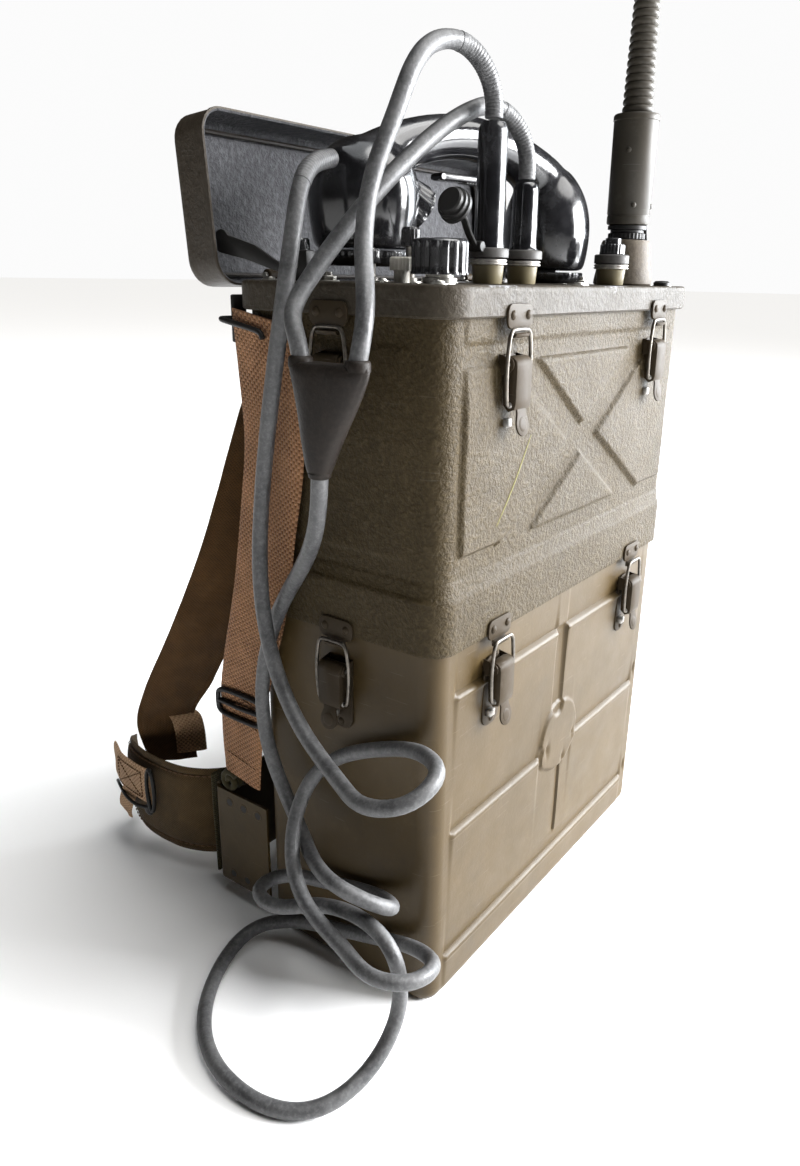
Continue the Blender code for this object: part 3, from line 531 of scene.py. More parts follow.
def even_steps(fine, count):
    """Evenly spaced points along a fine line."""
    lengths = [0.0]
    for a, b in zip(fine, fine[1:]):
        lengths.append(lengths[-1] + (b - a).length)
    out, k = [], 0
    for i in range(count):
        want = lengths[-1] * i / (count - 1)
        while k < len(fine) - 2 and lengths[k + 1] < want:
            k += 1
        span = lengths[k + 1] - lengths[k]
        out.append(fine[k].lerp(fine[k + 1], (want - lengths[k]) / span if span else 0))
    return out


def smooth_path(points, count):
    """Evenly spaced points on a Catmull-Rom curve through the given ones."""
    pts = [Vector(p) for p in points]
    pts = [2 * pts[0] - pts[1]] + pts + [2 * pts[-1] - pts[-2]]
    fine = []
    for a, b, c, d in zip(pts, pts[1:], pts[2:], pts[3:]):
        for k in range(16):
            t = k / 16
            fine.append(0.5 * (2 * b + (c - a) * t + (2 * a - 5 * b + 4 * c - d) * t * t
                               + (3 * b - a - 3 * c + d) * t ** 3))
    fine.append(pts[-2])
    return even_steps(fine, count)


def spline_bends(pts, spans):
    """Second derivatives of the natural cubic spline, solved down and then back up."""
    ratio, carry = [0.0], [Vector()]
    for i in range(1, len(pts) - 1):
        pivot = 2 * (spans[i - 1] + spans[i]) - spans[i - 1] * ratio[-1]
        turn = 6 * ((pts[i + 1] - pts[i]) / spans[i] - (pts[i] - pts[i - 1]) / spans[i - 1])
        ratio.append(spans[i] / pivot)
        carry.append((turn - spans[i - 1] * carry[-1]) / pivot)
    bends = [Vector() for _ in pts]
    for i in range(len(pts) - 2, 0, -1):
        bends[i] = carry[i] - ratio[i] * bends[i + 1]
    return bends


def cord_path(points, count):
    """Evenly spaced points on one smooth curve through a cord's route."""
    pts = [Vector(p) for p in points]
    spans = [(b - a).length for a, b in zip(pts, pts[1:])]
    bends = spline_bends(pts, spans)
    fine = []
    for a, b, bend_a, bend_b, h in zip(pts, pts[1:], bends, bends[1:], spans):
        for k in range(16):
            t = h * k / 16
            s = h - t
            fine.append((bend_a * s ** 3 + bend_b * t ** 3) / (6 * h)
                        + (a / h - bend_a * h / 6) * s + (b / h - bend_b * h / 6) * t)
    fine.append(pts[-1])
    return even_steps(fine, count)


def path_length(points):
    return sum((b - a).length for a, b in zip(points, points[1:]))


def tube_rings(points, radius, sides, profile=None, squeeze=None):
    """Rings of a tube carried along a path without twisting."""
    pts = [Vector(p) for p in points]
    tangent = (pts[1] - pts[0]).normalized()
    up = Vector((0, 0, 1)) if abs(tangent.z) < 0.9 else Vector((1, 0, 0))
    side = tangent.cross(up).normalized()
    rings = []
    for i, p in enumerate(pts):
        ahead = (pts[min(i + 1, len(pts) - 1)] - pts[max(i - 1, 0)]).normalized()
        side = (side - ahead * side.dot(ahead)).normalized()
        other = ahead.cross(side)
        r = radius if profile is None else radius * profile(i / (len(pts) - 1))
        w = 1.0 if squeeze is None else squeeze(i / (len(pts) - 1))
        rings.append([p + side * (r * cos(a)) + other * (r * w * sin(a))
                      for a in (2 * pi * k / sides for k in range(sides))])
    return rings


def mm(*rows):
    return [tuple(v * MM for v in row) for row in rows]


def rise(x, edge, width):
    """Smooth step from 0 to 1 centred on an edge."""
    t = np.clip((x - edge) / width + 0.5, 0.0, 1.0)
    return t * t * (3 - 2 * t)


def between(x, low, high, width):
    return rise(x, low, width) * (1 - rise(x, high, width))


# --- cords --------------------------------------------------------------------------------
HANDSET_CORD = mm(
    (-122, 30, 494), (-144, 26, 487), (-163, 20, 458), (-171, 42, 318),
    (-180, 34, 240), (-189, -1, 191), (-203, -43, 177), (-213, -68, 180), (-206, -88, 186),
    (-187, -92, 193), (-171, -75, 192), (-161, -36, 178), (-169, 8, 149), (-190, 9, 112),
    (-204, -16, 86), (-207, -47, 73), (-213, -71, 73), (-205, -89, 73), (-186, -92, 69),
    (-169, -75, 59), (-160, -12, 35), (-180, 61, 12), (-225, 50, 6.5),
    (-266, -8, 5.5), (-251, -62, 6), (-200, -77, 32), (-194, -69, 77),
    (-193, -10, 77), (-202, 16, 70), (-193, 36, 67), (-173, 36, 64), (-162, 12, 65),
    (-164, -41, 78), (-181, -58, 91), (-199, -40, 106), (-178, 12, 110), (-169, 49, 160),
    (-167, 35, 250), (-187, -14, 317), (-190, -19, 340))
LONG_LEAD = mm(
    (-190, -44, 397), (-185, -44, 416), (-166, -28, 445), (-153, -23, 480), (-140, -27, 510),
    (-117, -29, 541), (-92, -34, 545), (-77, -39, 532), (-73, -40, 519), (-73, -40, 514.3))
SHORT_LEAD = mm(
    (-190, -8, 397.5), (-190, -6.5, 404), (-184, 2, 417), (-172, 2, 433), (-150, -12, 465),
    (-118, -21, 494), (-80, -27, 517), (-54, -32, 522), (-39, -38, 510), (-35, -40, 494),
    (-35, -40, 488.3))


def cord_curve(name, route, count, node):
    """Rubber cord: a fine curve with a slightly uneven thickness."""
    points = cord_path(route, count)
    data = bpy.data.curves.new(name, 'CURVE')
    data.dimensions = '3D'
    data.bevel_depth = CORD_D / 2
    data.bevel_resolution = 5
    data.use_fill_caps = True
    line = data.splines.new('POLY')
    line.points.add(count - 1)
    for i, p in enumerate(points):
        line.points[i].co = (*p, 1.0)
        line.points[i].radius = 1.0 + 0.022 * noise.noise(Vector((i * 0.21, 3.7, len(name))))
    line.use_smooth = True
    data.materials.append(RUBBER)
    made = bpy.data.objects.new(name, data)
    bpy.context.scene.collection.objects.link(made)
    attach(made, 'root')
    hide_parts(node)
    return made, path_length(points)


main_cord, main_length = cord_curve("cord_handset", HANDSET_CORD, 420, "handset_cord")
long_lead, long_length = cord_curve("lead_long", LONG_LEAD, 90, "plug_lead_long")
short_lead, short_length = cord_curve("lead_short", SHORT_LEAD, 90, "plug_lead_short")

PLACEHOLDER = {
    "olive_paint": OLIVE, "olive_crinkle": CRINKLE, "worn_steel": STEEL,
    "black_moulding": BLACK, "black_paint": BLACK_PAINT, "cord_rubber": JOINT_RUBBER,
    "base_rubber": CONE_RUBBER, "tan_webbing": TAN, "olive_canvas": CANVAS,
    "battery_card": CANVAS}
for row in frame["record"]["subparts"]:
    node = frame["nodes"][row["node"]]
    node.data.materials.clear()
    node.data.materials.append(PLACEHOLDER[row["material_slot"]])

# --- pressed steel casings -------------------------------------------------------------------
# Each wall is a fine net around the case: columns along the outline, rows up the height.
# A relief function says how far each point stands out from the plain wall.
FACE_FRONT, FACE_RIGHT, FACE_BACK, FACE_LEFT, FACE_CORNER = range(5)


def outline_net(half_w, half_d, radius, fine, coarse):
    """Anticlockwise rounded rectangle from the front left: x, y, normal, face, place along."""
    rows = []
    flat_w, flat_d = half_w - radius, half_d - radius

    def run(face, start, end, normal, pitch):
        count = max(2, int(round((Vector(end) - Vector(start)).length / pitch)))
        for k in range(count):
            x, y = Vector(start).lerp(Vector(end), (k + 0.5) / count)
            along = x if face in (FACE_FRONT, FACE_BACK) else y
            rows.append((x, y, *normal, face, along))

    def corner(cx, cy, start):
        for k in range(9):
            a = radians(start + 90 * k / 8)
            rows.append((cx + radius * cos(a), cy + radius * sin(a), cos(a), sin(a),
                         FACE_CORNER, 0.0))

    run(FACE_FRONT, (-flat_w, -half_d), (flat_w, -half_d), (0, -1), fine)
    corner(flat_w, -flat_d, -90)
    run(FACE_RIGHT, (half_w, -flat_d), (half_w, flat_d), (1, 0), coarse)
    corner(flat_w, flat_d, 0)
    run(FACE_BACK, (flat_w, half_d), (-flat_w, half_d), (0, 1), coarse)
    corner(-flat_w, flat_d, 90)
    run(FACE_LEFT, (-half_w, flat_d), (-half_w, -flat_d), (-1, 0), coarse)
    corner(-flat_w, -flat_d, 180)
    return np.array(rows)


def casing(name, mat, rows, relief, fine=0.0012, coarse=0.0026):
    """Wall from (z, growth) rows; relief(face, along, z) gives (height, wear) arrays."""
    net = outline_net(CASE_W / 2, CASE_D / 2, CASE_R, fine, coarse)
    z = np.array([r[0] for r in rows])[:, None]
    grow = np.array([r[1] for r in rows])[:, None]
    face = np.broadcast_to(net[None, :, 4], (len(rows), len(net)))
    along = np.broadcast_to(net[None, :, 5], face.shape)
    high, wear = relief(face, along, np.broadcast_to(z, face.shape))
    out = grow + high
    points = np.stack([net[:, 0] + net[:, 2] * out, net[:, 1] + net[:, 3] * out,
                       np.broadcast_to(z, face.shape)], -1)
    wear = wear + 0.10 * (face == FACE_CORNER)
    return grid_mesh(name, points, mat, caps=(True, True), wear=wear)


def spaced(low, high, pitch):
    count = max(1, int(round((high - low) / pitch)))
    return [low + (high - low) * k / count for k in range(count + 1)]


def ledge(t, up=0.0014, down=0.0018, fade_up=0.011, fade_down=0.022):
    """Pressed step across a line: sunk above it (t > 0), proud and flattening out below."""
    above = -down * np.exp(-np.abs(t) / fade_up)
    below = up * np.exp(-np.abs(t) / fade_down)
    lip = 0.0006 * np.exp(-((t + 0.0026) / 0.0011) ** 2)
    return above + (below - above) * (1 - rise(t, 0.0, 0.0016)) + lip


def dent(along, z, x0, z0, wide, high):
    return np.exp(-((along - x0) / wide) ** 2 - ((z - z0) / high) ** 2)


def slow_waves(along, z, seed):
    """Slight unevenness of a beaten panel."""
    return 0.00022 * (np.sin(along * 41 + seed) * np.sin(z * 37 + 2.1 * seed)
                      + 0.6 * np.sin(along * 83 + z * 61 + seed))


def battery_relief(face, along, z):
    front, side = face == FACE_FRONT, face == FACE_LEFT
    high = np.zeros(face.shape)
    soft = 0.0030
    for x0, x1, z0 in ((-0.134, -0.0095, 0.211), (0.0055, 0.133, 0.211),
                       (-0.134, -0.025, 0.119), (0.024, 0.133, 0.119),
                       (-0.137, 0.132, 0.0295)):
        high += ledge(z - z0) * between(along, x0, x1, soft)
    groove_end = 0.1445 + 0.0070 - np.sqrt(np.maximum(0, 0.0070 ** 2 - (along + 0.002) ** 2))
    high -= 0.0019 * between(along, -0.009, 0.005, 0.0022) * between(z, groove_end, 0.2125,
                                                                     0.0028)
    upright = -0.0013 * np.exp(-np.abs(along - 0.009) / 0.0045) * (1 - rise(along, 0.009, 0.0015))
    upright += 0.0006 * np.exp(-np.abs(along - 0.009) / 0.014) * rise(along, 0.009, 0.0015)
    high += upright * between(z, 0.042, 0.106, 0.0030)
    angle = np.arctan2(z - 0.127, along - 0.003)
    edge = 0.0265 + 0.0030 * np.exp(-((angle + 2.55) / 0.22) ** 2)
    edge -= 0.0022 * np.exp(-((angle + 3.0) / 0.10) ** 2)
    reach = np.hypot(along - 0.003, z - 0.127)
    inside = 1 - rise(reach, edge, 0.0018)
    high = high * (1 - 0.75 * inside * (z < 0.142)) + 0.0018 * inside
    high -= 0.0016 * dent(along, z, -0.0145, 0.1215, 0.0022, 0.0050)
    high -= 0.0014 * dent(along, z, 0.0105, 0.1050, 0.0018, 0.0050)
    high -= 0.0012 * dent(along, z, 0.0235, 0.1200, 0.0014, 0.0030)
    for z0 in (0.130, 0.038):
        high -= 0.0020 * dent(along, z, 0.1385, z0, 0.0012, 0.0048)
    high = np.where(front, high, 0.0)
    back = (face == FACE_BACK) * 0.0010 * between(z, 0.030, 0.205, 0.006) * between(
        along, -0.125, 0.125, 0.006)
    plain = slow_waves(along, z, 1.0) * ((face != FACE_CORNER) & ~front)
    wear = 0.10 * np.exp(-z / 0.012) + 0.16 * np.where(front, np.clip(high / 0.0013, 0, 1), 0)
    wear += 0.14 * side * np.exp(-((z - 0.205) / 0.02) ** 2)
    return high + back + plain, wear


def field(along, z, corners, width=0.0026):
    """1 inside a triangle with soft sloping edges, 0 outside."""
    inside = np.ones(along.shape)
    for (x0, z0), (x1, z1) in zip(corners, corners[1:] + corners[:1]):
        length = sqrt((x1 - x0) ** 2 + (z1 - z0) ** 2)
        distance = ((x1 - x0) * (z - z0) - (z1 - z0) * (along - x0)) / length
        inside = inside * rise(distance, 0.0, width)
    return inside


def transceiver_relief(face, along, z):
    front = face == FACE_FRONT
    high = np.zeros(face.shape)
    top = field(along, z, [(-0.002, 0.3505), (0.063, 0.3935), (-0.065, 0.3935)])
    foot = field(along, z, [(-0.062, 0.2940), (0.057, 0.2940), (-0.002, 0.3320)])
    right = field(along, z, [(0.0185, 0.3420), (0.098, 0.2925), (0.099, 0.3935)])
    left = field(along, z, [(-0.0215, 0.3420), (-0.100, 0.3935), (-0.100, 0.2925)])
    across = between(along, 0.0930, 0.1390, 0.003) + between(along, -0.1380, -0.0950, 0.003)
    sides = np.clip(across, 0, 1) * between(z, 0.2945, 0.3925, 0.003)
    fields = np.maximum.reduce([top, foot, right, left, sides])
    arms = field(along, z, [(-0.105, 0.4010), (0.0, 0.3200), (0.105, 0.4010)], 0.002)
    high += 0.0027 * fields * (1 - 0.35 * rise(z, 0.380, 0.02) * (1 - arms))
    high += 0.0013 * between(along, -0.1380, 0.1350, 0.003) * rise(z, 0.4045, 0.0022)
    high = np.where(front, high, 0.0)
    panel = between(z, 0.292, 0.402, 0.004) * between(along, -0.046, 0.046, 0.004)
    high += 0.0009 * panel * ((face == FACE_LEFT) | (face == FACE_RIGHT))
    high += 0.0009 * (face == FACE_BACK) * between(z, 0.292, 0.402, 0.004) * between(
        along, -0.135, 0.135, 0.004)
    high += slow_waves(along, z, 2.3) * (face != FACE_CORNER) * (z > 0.285)
    wear = 0.16 * np.exp(-np.abs(z - 0.2745) / 0.0022) + 0.08 * np.exp(-np.abs(z - 0.2405)
                                                                       / 0.002)
    wear += 0.10 * np.where(front, fields * (1 - fields) * 4, 0)
    return high, wear


def flange_relief(face, along, z):
    high = 0.00035 * np.sin(along * 55) * (face != FACE_CORNER)
    wear = 0.22 + 0.12 * np.sin(along * 23 + 1.2) * np.sin(along * 71)
    wear = np.where(face == FACE_FRONT, wear, 0.03)
    wear = wear + 0.16 * np.exp(-np.abs(z - DECK) / 0.0015)
    return high, wear


def latch_place(face, along, surface, z):
    """Frame on a face: X along it, -Y out of it, origin on the plain wall of the case."""
    spot = Matrix.Rotation(face, 4, 'Z') @ Vector((along, -surface, 0))
    return at(spot.x, spot.y, z, Matrix.Rotation(face, 4, 'Z'))


LATCH_FACES = (("front_left", FRONT, -0.096), ("front_right", FRONT, 0.096),
               ("left", LEFT, 0.0), ("right", RIGHT, 0.0))
UPPER_PIVOT, LOWER_PIVOT = 0.393, 0.219
FACING = turned(x=90)              # turns a plate's own XY onto a face, thickness outwards


def wall_distance(face):
    return (CASE_D if face == FRONT else CASE_W) / 2


def rounded_plate(width, height, radius, steps=5):
    """Outline of a rounded rectangle about its own centre."""
    radius = min(radius, width / 2 - 1e-5, height / 2 - 1e-5)
    points = []
    for cx, cz, start in ((1, 1, 0), (-1, 1, 90), (-1, -1, 180), (1, -1, 270)):
        for k in range(steps + 1):
            a = radians(start + 90 * k / steps)
            points.append((cx * (width / 2 - radius) + radius * cos(a),
                           cz * (height / 2 - radius) + radius * sin(a)))
    return points


def add_strike(build, mat, face, along, pivot, skin):
    """Riveted plate, narrow neck and curled lip that the wire bail pulls on."""
    place = latch_place(face, along, wall_distance(face), pivot)
    build.place = place
    head = rounded_plate(0.0250, 0.0125, 0.0042)
    build.plate(head, 0.0016, mat, at(0, -skin, 0.0240) @ FACING, 0.0004)
    for x in (-0.0078, 0.0078):
        build.rivet(0.0026, 0.0016, mat, at(x, -skin - 0.0014, 0.0246) @ FACING)
    neck = [(-0.0072, 0.0), (0.0072, 0.0), (0.0066, -0.0035), (0.0066, -0.0060),
            (-0.0066, -0.0060), (-0.0066, -0.0035)]
    build.plate(neck, 0.0014, mat, at(0, -skin, 0.0195) @ FACING, 0.0003)
    bend = [(-skin - 0.0006, 0.0155), (-skin - 0.0010, 0.0143), (-skin - 0.0018, 0.0139),
            (-skin - 0.0027, 0.0143), (-skin - 0.0032, 0.0155)]
    curl(build, bend, 0.0070, 0.0012, mat)


def curl(build, bend, half, thick, mat):
    """Strip of one width bent through (y, z) points, with rounded edges."""
    points = smooth_path([(0, y, z) for y, z in bend], 14)
    rings = []
    for i, p in enumerate(points):
        ahead = (points[min(i + 1, 13)] - points[max(i - 1, 0)]).normalized()
        normal = Vector((0, -ahead.z, ahead.y))
        ring = []
        for x, w in ((-half, -0.25), (-half + 0.0004, -0.5), (half - 0.0004, -0.5),
                     (half, -0.25), (half, 0.25), (half - 0.0004, 0.5), (-half + 0.0004, 0.5),
                     (-half, 0.25)):
            ring.append(Vector((x, p.y, p.z)) + normal * (w * thick))
        rings.append(ring)
    build.faces(*rings_to_mesh(rings), mat)


def add_latch_base(build, mat, face, along, pivot, skin):
    """Base plate with pin ears, a stop block and rivets."""
    build.place = latch_place(face, along, wall_distance(face), pivot)
    plate = rounded_plate(0.0186, 0.0460, 0.0070)
    build.plate(plate, 0.0014, mat, at(0, -skin, -0.0180) @ FACING, 0.0004)
    ear = [(-skin, -0.0060), (-skin - 0.0070, -0.0040)]
    ear += [(-0.0070 - 0.0033 * cos(radians(d)), 0.0036 * sin(radians(d)))
            for d in range(-60, 91, 15)]
    ear += [(-skin, 0.0050)]
    for x in (-0.0093, 0.0085):
        side = Matrix(((0, 0, 1, x), (1, 0, 0, 0), (0, 1, 0, 0), (0, 0, 0, 1)))
        build.plate(ear, 0.0008, mat, side, 0.0002)
    build.tube([(-0.0098, -0.0070, 0), (0.0098, -0.0070, 0)], 0.0012, STEEL, 12)
    build.box((0.0062, 0.0040, 0.0048), (-0.0035, -skin - 0.0030, -0.0310), STEEL, 0.0008)
    build.rivet(0.0024, 0.0014, mat, at(0.0005, -skin - 0.0012, -0.0370) @ FACING)


# battery case: a drawn can with rounded foot
foot = [(0.0, -0.0070), (0.0006, -0.0042), (0.0022, -0.0018), (0.0045, -0.0005)]
battery_rows = foot + [(z, 0.0) for z in spaced(0.0070, BATTERY_TOP, 0.0013)]
shell = casing("battery_wall", OLIVE, battery_rows, battery_relief)
battery = Build()
battery.mats = [OLIVE]
battery.bm.from_mesh(shell)
for tag, face, along in LATCH_FACES:
    add_latch_base(battery, HARDWARE, face, along, LOWER_PIVOT, 0.0)
battery.done("battery_can", slot="olive_paint", smooth=40, replaces=("battery_case",))

# transceiver case: crinkled wall with a flared band that sleeves the battery can
shoulder = [(BAND_Z[1] - 0.0010, BAND_GROW), (BAND_Z[1] + 0.0004, BAND_GROW - 0.0004),
            (BAND_Z[1] + 0.0014, BAND_GROW - 0.0012), (BAND_Z[1] + 0.0022, CASE_GROW + 0.0009),
            (0.2795, CASE_GROW + 0.0008), (0.2806, CASE_GROW + 0.0005),
            (0.2816, CASE_GROW)]
case_rows = [(BAND_Z[0], BAND_GROW - 0.0014), (BAND_Z[0] + 0.0003, BAND_GROW - 0.0003)]
case_rows += [(z, BAND_GROW) for z in spaced(BAND_Z[0] + 0.0012, BAND_Z[1] - 0.0024, 0.0016)]
case_rows += shoulder
case_rows += [(z, CASE_GROW) for z in spaced(0.2830, PANEL_Z[0], 0.0013)]
shell = casing("transceiver_wall", CRINKLE, case_rows, transceiver_relief)
transceiver = Build()
transceiver.mats = [CRINKLE]
transceiver.bm.from_mesh(shell)
for tag, face, along in LATCH_FACES:
    add_latch_base(transceiver, HARDWARE, face, along, UPPER_PIVOT, CASE_GROW)
    add_strike(transceiver, HARDWARE, face, along, LOWER_PIVOT, BAND_GROW)
skin = transceiver.done("transceiver_shell", slot="olive_crinkle", smooth=40,
                        replaces=("transceiver_case",))

# control panel: worn flange all round, crinkled deck inside its rolled rim
rim_rows = [(PANEL_Z[0], PANEL_GROW - 0.0035), (PANEL_Z[0] + 0.0002, PANEL_GROW - 0.0010),
            (PANEL_Z[0] + 0.0012, PANEL_GROW)]
rim_rows += [(z, PANEL_GROW) for z in spaced(PANEL_Z[0] + 0.0026, DECK - 0.0024, 0.0014)]
rim_rows += [(DECK - 0.0010, PANEL_GROW - 0.0003), (DECK - 0.0002, PANEL_GROW - 0.0011),
             (DECK, PANEL_GROW - 0.0022)]
shell = casing("flange", FLANGE, rim_rows, flange_relief, fine=0.0030)
panel = Build()
panel.mats = [FLANGE]
panel.bm.from_mesh(shell)
for tag, face, along in LATCH_FACES:
    add_strike(panel, HARDWARE, face, along, UPPER_PIVOT, PANEL_GROW)
panel.place = Matrix.Identity(4)

# thin yellow-green score down the transceiver front, bowed and laid on the pressed wall
SCORE_TOP, SCORE_FOOT = (-0.070, 0.352), (-0.104, 0.305)
SCORE_BOW = 0.0012
IN_FRONT, INWARDS = -0.12, Vector((0, 1, 0))
bpy.context.view_layer.update()
marks = []
for k in range(9):
    t = k / 8
    x = SCORE_TOP[0] + (SCORE_FOOT[0] - SCORE_TOP[0]) * t + SCORE_BOW * sin(pi * t)
    z = SCORE_TOP[1] + (SCORE_FOOT[1] - SCORE_TOP[1]) * t
    marks.append(skin.ray_cast(Vector((x, IN_FRONT, z)), INWARDS)[1])
score = Build()
score.tube(smooth_path(marks, 60), 0.00036, Nodes("score_line", srgb(122, 118, 66), 0.7).mat, 8,
           profile=lambda t: 0.35 + 0.75 * sin(pi * t) ** 0.5)
score.done("front_score_line", slot="olive_crinkle", smooth=60)


def washer(build, x, y, radius, thick=0.0010):
    build.lathe([(radius, DECK - 0.0002), (radius, DECK + thick - 0.0002),
                 (radius - 0.0003, DECK + thick), (0.0001, DECK + thick)], NICKEL,
                at(x, y, 0), 32)


def pan_screw(build, x, y, radius=0.0030, angle=20):
    build.screw(radius, 0.0018, NICKEL, at(x, y, DECK), angle)


for x, y, angle in ((-0.146, -0.058, 10), (0.146, -0.058, 60), (-0.146, 0.055, 100),
                    (0.146, 0.055, 35), (0.0, -0.060, 80), (-0.040, 0.060, 15),
                    (0.036, 0.060, 70)):
    washer(panel, x, y, 0.0046, 0.0007)
    pan_screw(panel, x, y, 0.0030, angle)
panel.lathe([(0.0058, DECK), (0.0058, DECK + 0.0022), (0.0044, DECK + 0.0034),
             (0.0001, DECK + 0.0036)], BLACK_PAINT, at(0.134, -0.0600, 0), 24)
for x, y in ((-0.1195, -0.040), (-0.1040, -0.010), (-0.1230, 0.002), (-0.1270, 0.0500)):
    washer(panel, x, y, 0.0086 if y == -0.040 else 0.0068)
for x, y, size in ((-0.135, 0.022, 0.0045), (-0.060, -0.006, 0.0040), (0.020, -0.052, 0.0036),
                   (0.128, 0.020, 0.0045)):
    washer(panel, x, y, size * 1.35, 0.0006)
    panel.nut(size, 0.0026, NICKEL, at(x, y, DECK + 0.0004, turned(z=17 * size * 1000)))
    panel.lathe([(size * 0.5, DECK), (size * 0.5, DECK + 0.0048), (0.0001, DECK + 0.0051)],
                STEEL, at(x, y, 0), 20)
# blank data plate beside the tuning knob
panel.plate(rounded_plate(0.070, 0.034, 0.003), 0.0007, BLACK_PAINT, at(0.012, 0.036, DECK),
            0.0002)
for x in (-0.019, 0.043):
    for y in (0.023, 0.049):
        panel.rivet(0.0016, 0.0009, NICKEL, at(x, y, DECK + 0.0006), 12)
# small knurled grey knob between the handset and the tuning knob
panel.lathe([(0.0042, DECK), (0.0042, DECK + 0.0060), (0.0062, DECK + 0.0062),
             (0.0062, DECK + 0.0122), (0.0054, DECK + 0.0130), (0.0001, DECK + 0.0131)],
            PALE_METAL, at(-0.1185, -0.0150, 0), 40,
            ripple=lambda a, z: 1 + (0.035 * cos(20 * a) if z > DECK + 0.0061 else 0))
# lid hinges: three knuckles each, on one pin along the lid's axis
LID_AXIS = (0.0, 0.0790, 0.4345)
KNUCKLE, KNUCKLE_PITCH = 0.0120, 0.0136
for x in (-0.105, 0.105):
    for k in range(3):
        centre = x + (k - 1) * KNUCKLE_PITCH
        panel.lathe([(0.0031, -KNUCKLE / 2), (0.0035, -KNUCKLE / 2 + 0.0004),
                     (0.0035, KNUCKLE / 2 - 0.0004), (0.0031, KNUCKLE / 2)], HARDWARE,
                    at(centre, *LID_AXIS[1:], turned(y=90)), 24)
        panel.box((KNUCKLE, 0.0115, 0.0016), (centre, 0.0720, 0.4328), HARDWARE, 0.0004)
    panel.lathe([(0.0016, -0.0215), (0.0016, 0.0215)], NICKEL,
                at(x, *LID_AXIS[1:], turned(y=90)), 16)
for side in (-1, 1):
    panel.box((0.0080, 0.0180, 0.0160), (side * 0.1415, 0.0370, DECK + 0.0076), BLACK_PAINT,
              0.0014)
    panel.screw(0.0030, 0.0016, NICKEL,
                at(side * 0.1455, 0.0370, DECK + 0.0085, turned(y=side * 90)), 40)
panel.done("control_deck", slot="olive_crinkle", smooth=40, replaces=("control_panel",))

# --- lid: a shallow pressed pan, grey inside and olive outside ----------------------------------
LID_TURN = turned(x=-5)
STAY_PIN = (0.0870, 0.4520)


def lid_ring(half_x, z_low, z_high, radius, y, steps=7):
    """One rounded rectangle of the lid, in its own X and Z, at a depth y."""
    ring = []
    centre = (z_low + z_high) / 2
    half_z = (z_high - z_low) / 2
    for cx, cz, start in ((1, 1, 0), (-1, 1, 90), (-1, -1, 180), (1, -1, 270)):
        for k in range(steps + 1):
            a = radians(start + 90 * k / steps)
            ring.append((cx * (half_x - radius) + radius * cos(a), y,
                         centre + cz * (half_z - radius) + radius * sin(a)))
    return ring


def lid_pan(build):
    """Outer skin, rolled mouth and inner skin as one closed wall 1.6 mm thick."""
    low, high, half, mouth, back = -0.005, 0.086, 0.158, 0.0035, 0.0310
    outer, inner = [], []
    for k in range(7):
        a = radians(15 * k)
        inset, y = 0.0060 * (1 - sin(a)), back - 0.0060 * (1 - cos(a))
        outer.append(lid_ring(half - inset, low + inset, high - inset, 0.0145 - inset * 0.9, y))
    outer.append(lid_ring(half, low, high, 0.0145, mouth + 0.0030))
    outer.append(lid_ring(half + 0.0006, low - 0.0006, high + 0.0006, 0.0151, mouth + 0.0018))
    outer.append(lid_ring(half + 0.0005, low - 0.0005, high + 0.0005, 0.0150, mouth + 0.0003))
    outer.append(lid_ring(half - 0.0006, low + 0.0006, high - 0.0006, 0.0139, mouth))
    inner.append(lid_ring(half - 0.0016, low + 0.0016, high - 0.0016, 0.0129, mouth + 0.0008))
    for k in range(7):
        a = radians(15 * k)
        inset = 0.0016 + 0.0045 * (1 - cos(a))
        y = back - 0.0016 - 0.0045 + 0.0045 * sin(a)
        inner.append(lid_ring(half - inset, low + inset, high - inset, 0.0129 - inset * 0.8, y))
    place = at(*LID_AXIS, LID_TURN)
    verts, faces = rings_to_mesh(outer, caps=False)
    build.faces(verts, faces + [tuple(range(len(outer[0])))[::-1]], LID_OUT, place)
    join_ring = [outer[-1]] + inner
    verts, faces = rings_to_mesh(join_ring, caps=False)
    last = (len(join_ring) - 1) * len(inner[0])
    build.faces(verts, faces + [tuple(range(last, last + len(inner[0])))], GREY, place)


lid = Build()
lid_pan(lid)
lid.place = at(*LID_AXIS, LID_TURN)
for x in (-0.105, 0.105):
    for k in (-1, 1):
        lid.box((0.0120, 0.0100, 0.0018), (x + k * 0.0068, 0.0040, -0.0046), HARDWARE, 0.0004)
        lid.rivet(0.0022, 0.0012, HARDWARE, at(x + k * 0.0075, 0.0312, 0.0090, turned(x=-90)))
gasket = [(x * 0.985, 0.0272, 0.0405 + (z - 0.0405) * 0.93)
          for x, y, z in lid_ring(0.1500, -0.001, 0.082, 0.0110, 0)]
lid.tube(gasket + gasket[:2], 0.0014, JOINT_RUBBER, 8)
for side in (-1, 1):
    lid.rivet(0.0042, 0.0014, NICKEL,
              at(side * 0.1566, 0.0095, 0.0168, turned(y=-side * 90)), 24)
lid.done("lid_pan", "lid", slot="olive_paint", smooth=38, replaces=("lid",))


def stay_outline():
    """Slim flat arm with a round eye, in its own (y, z) from the pivot."""
    eye = [(0.0062 * cos(radians(d)), 0.0062 * sin(radians(d))) for d in range(-75, 151, 15)]
    low = [(-0.0455, -0.0163), (-0.0475, -0.0152), (-0.0480, -0.0126)]
    return eye + [(-0.0260, -0.0022)] + [(-0.0400, -0.0092)] + low[::-1] + [(-0.0200, -0.0098)]


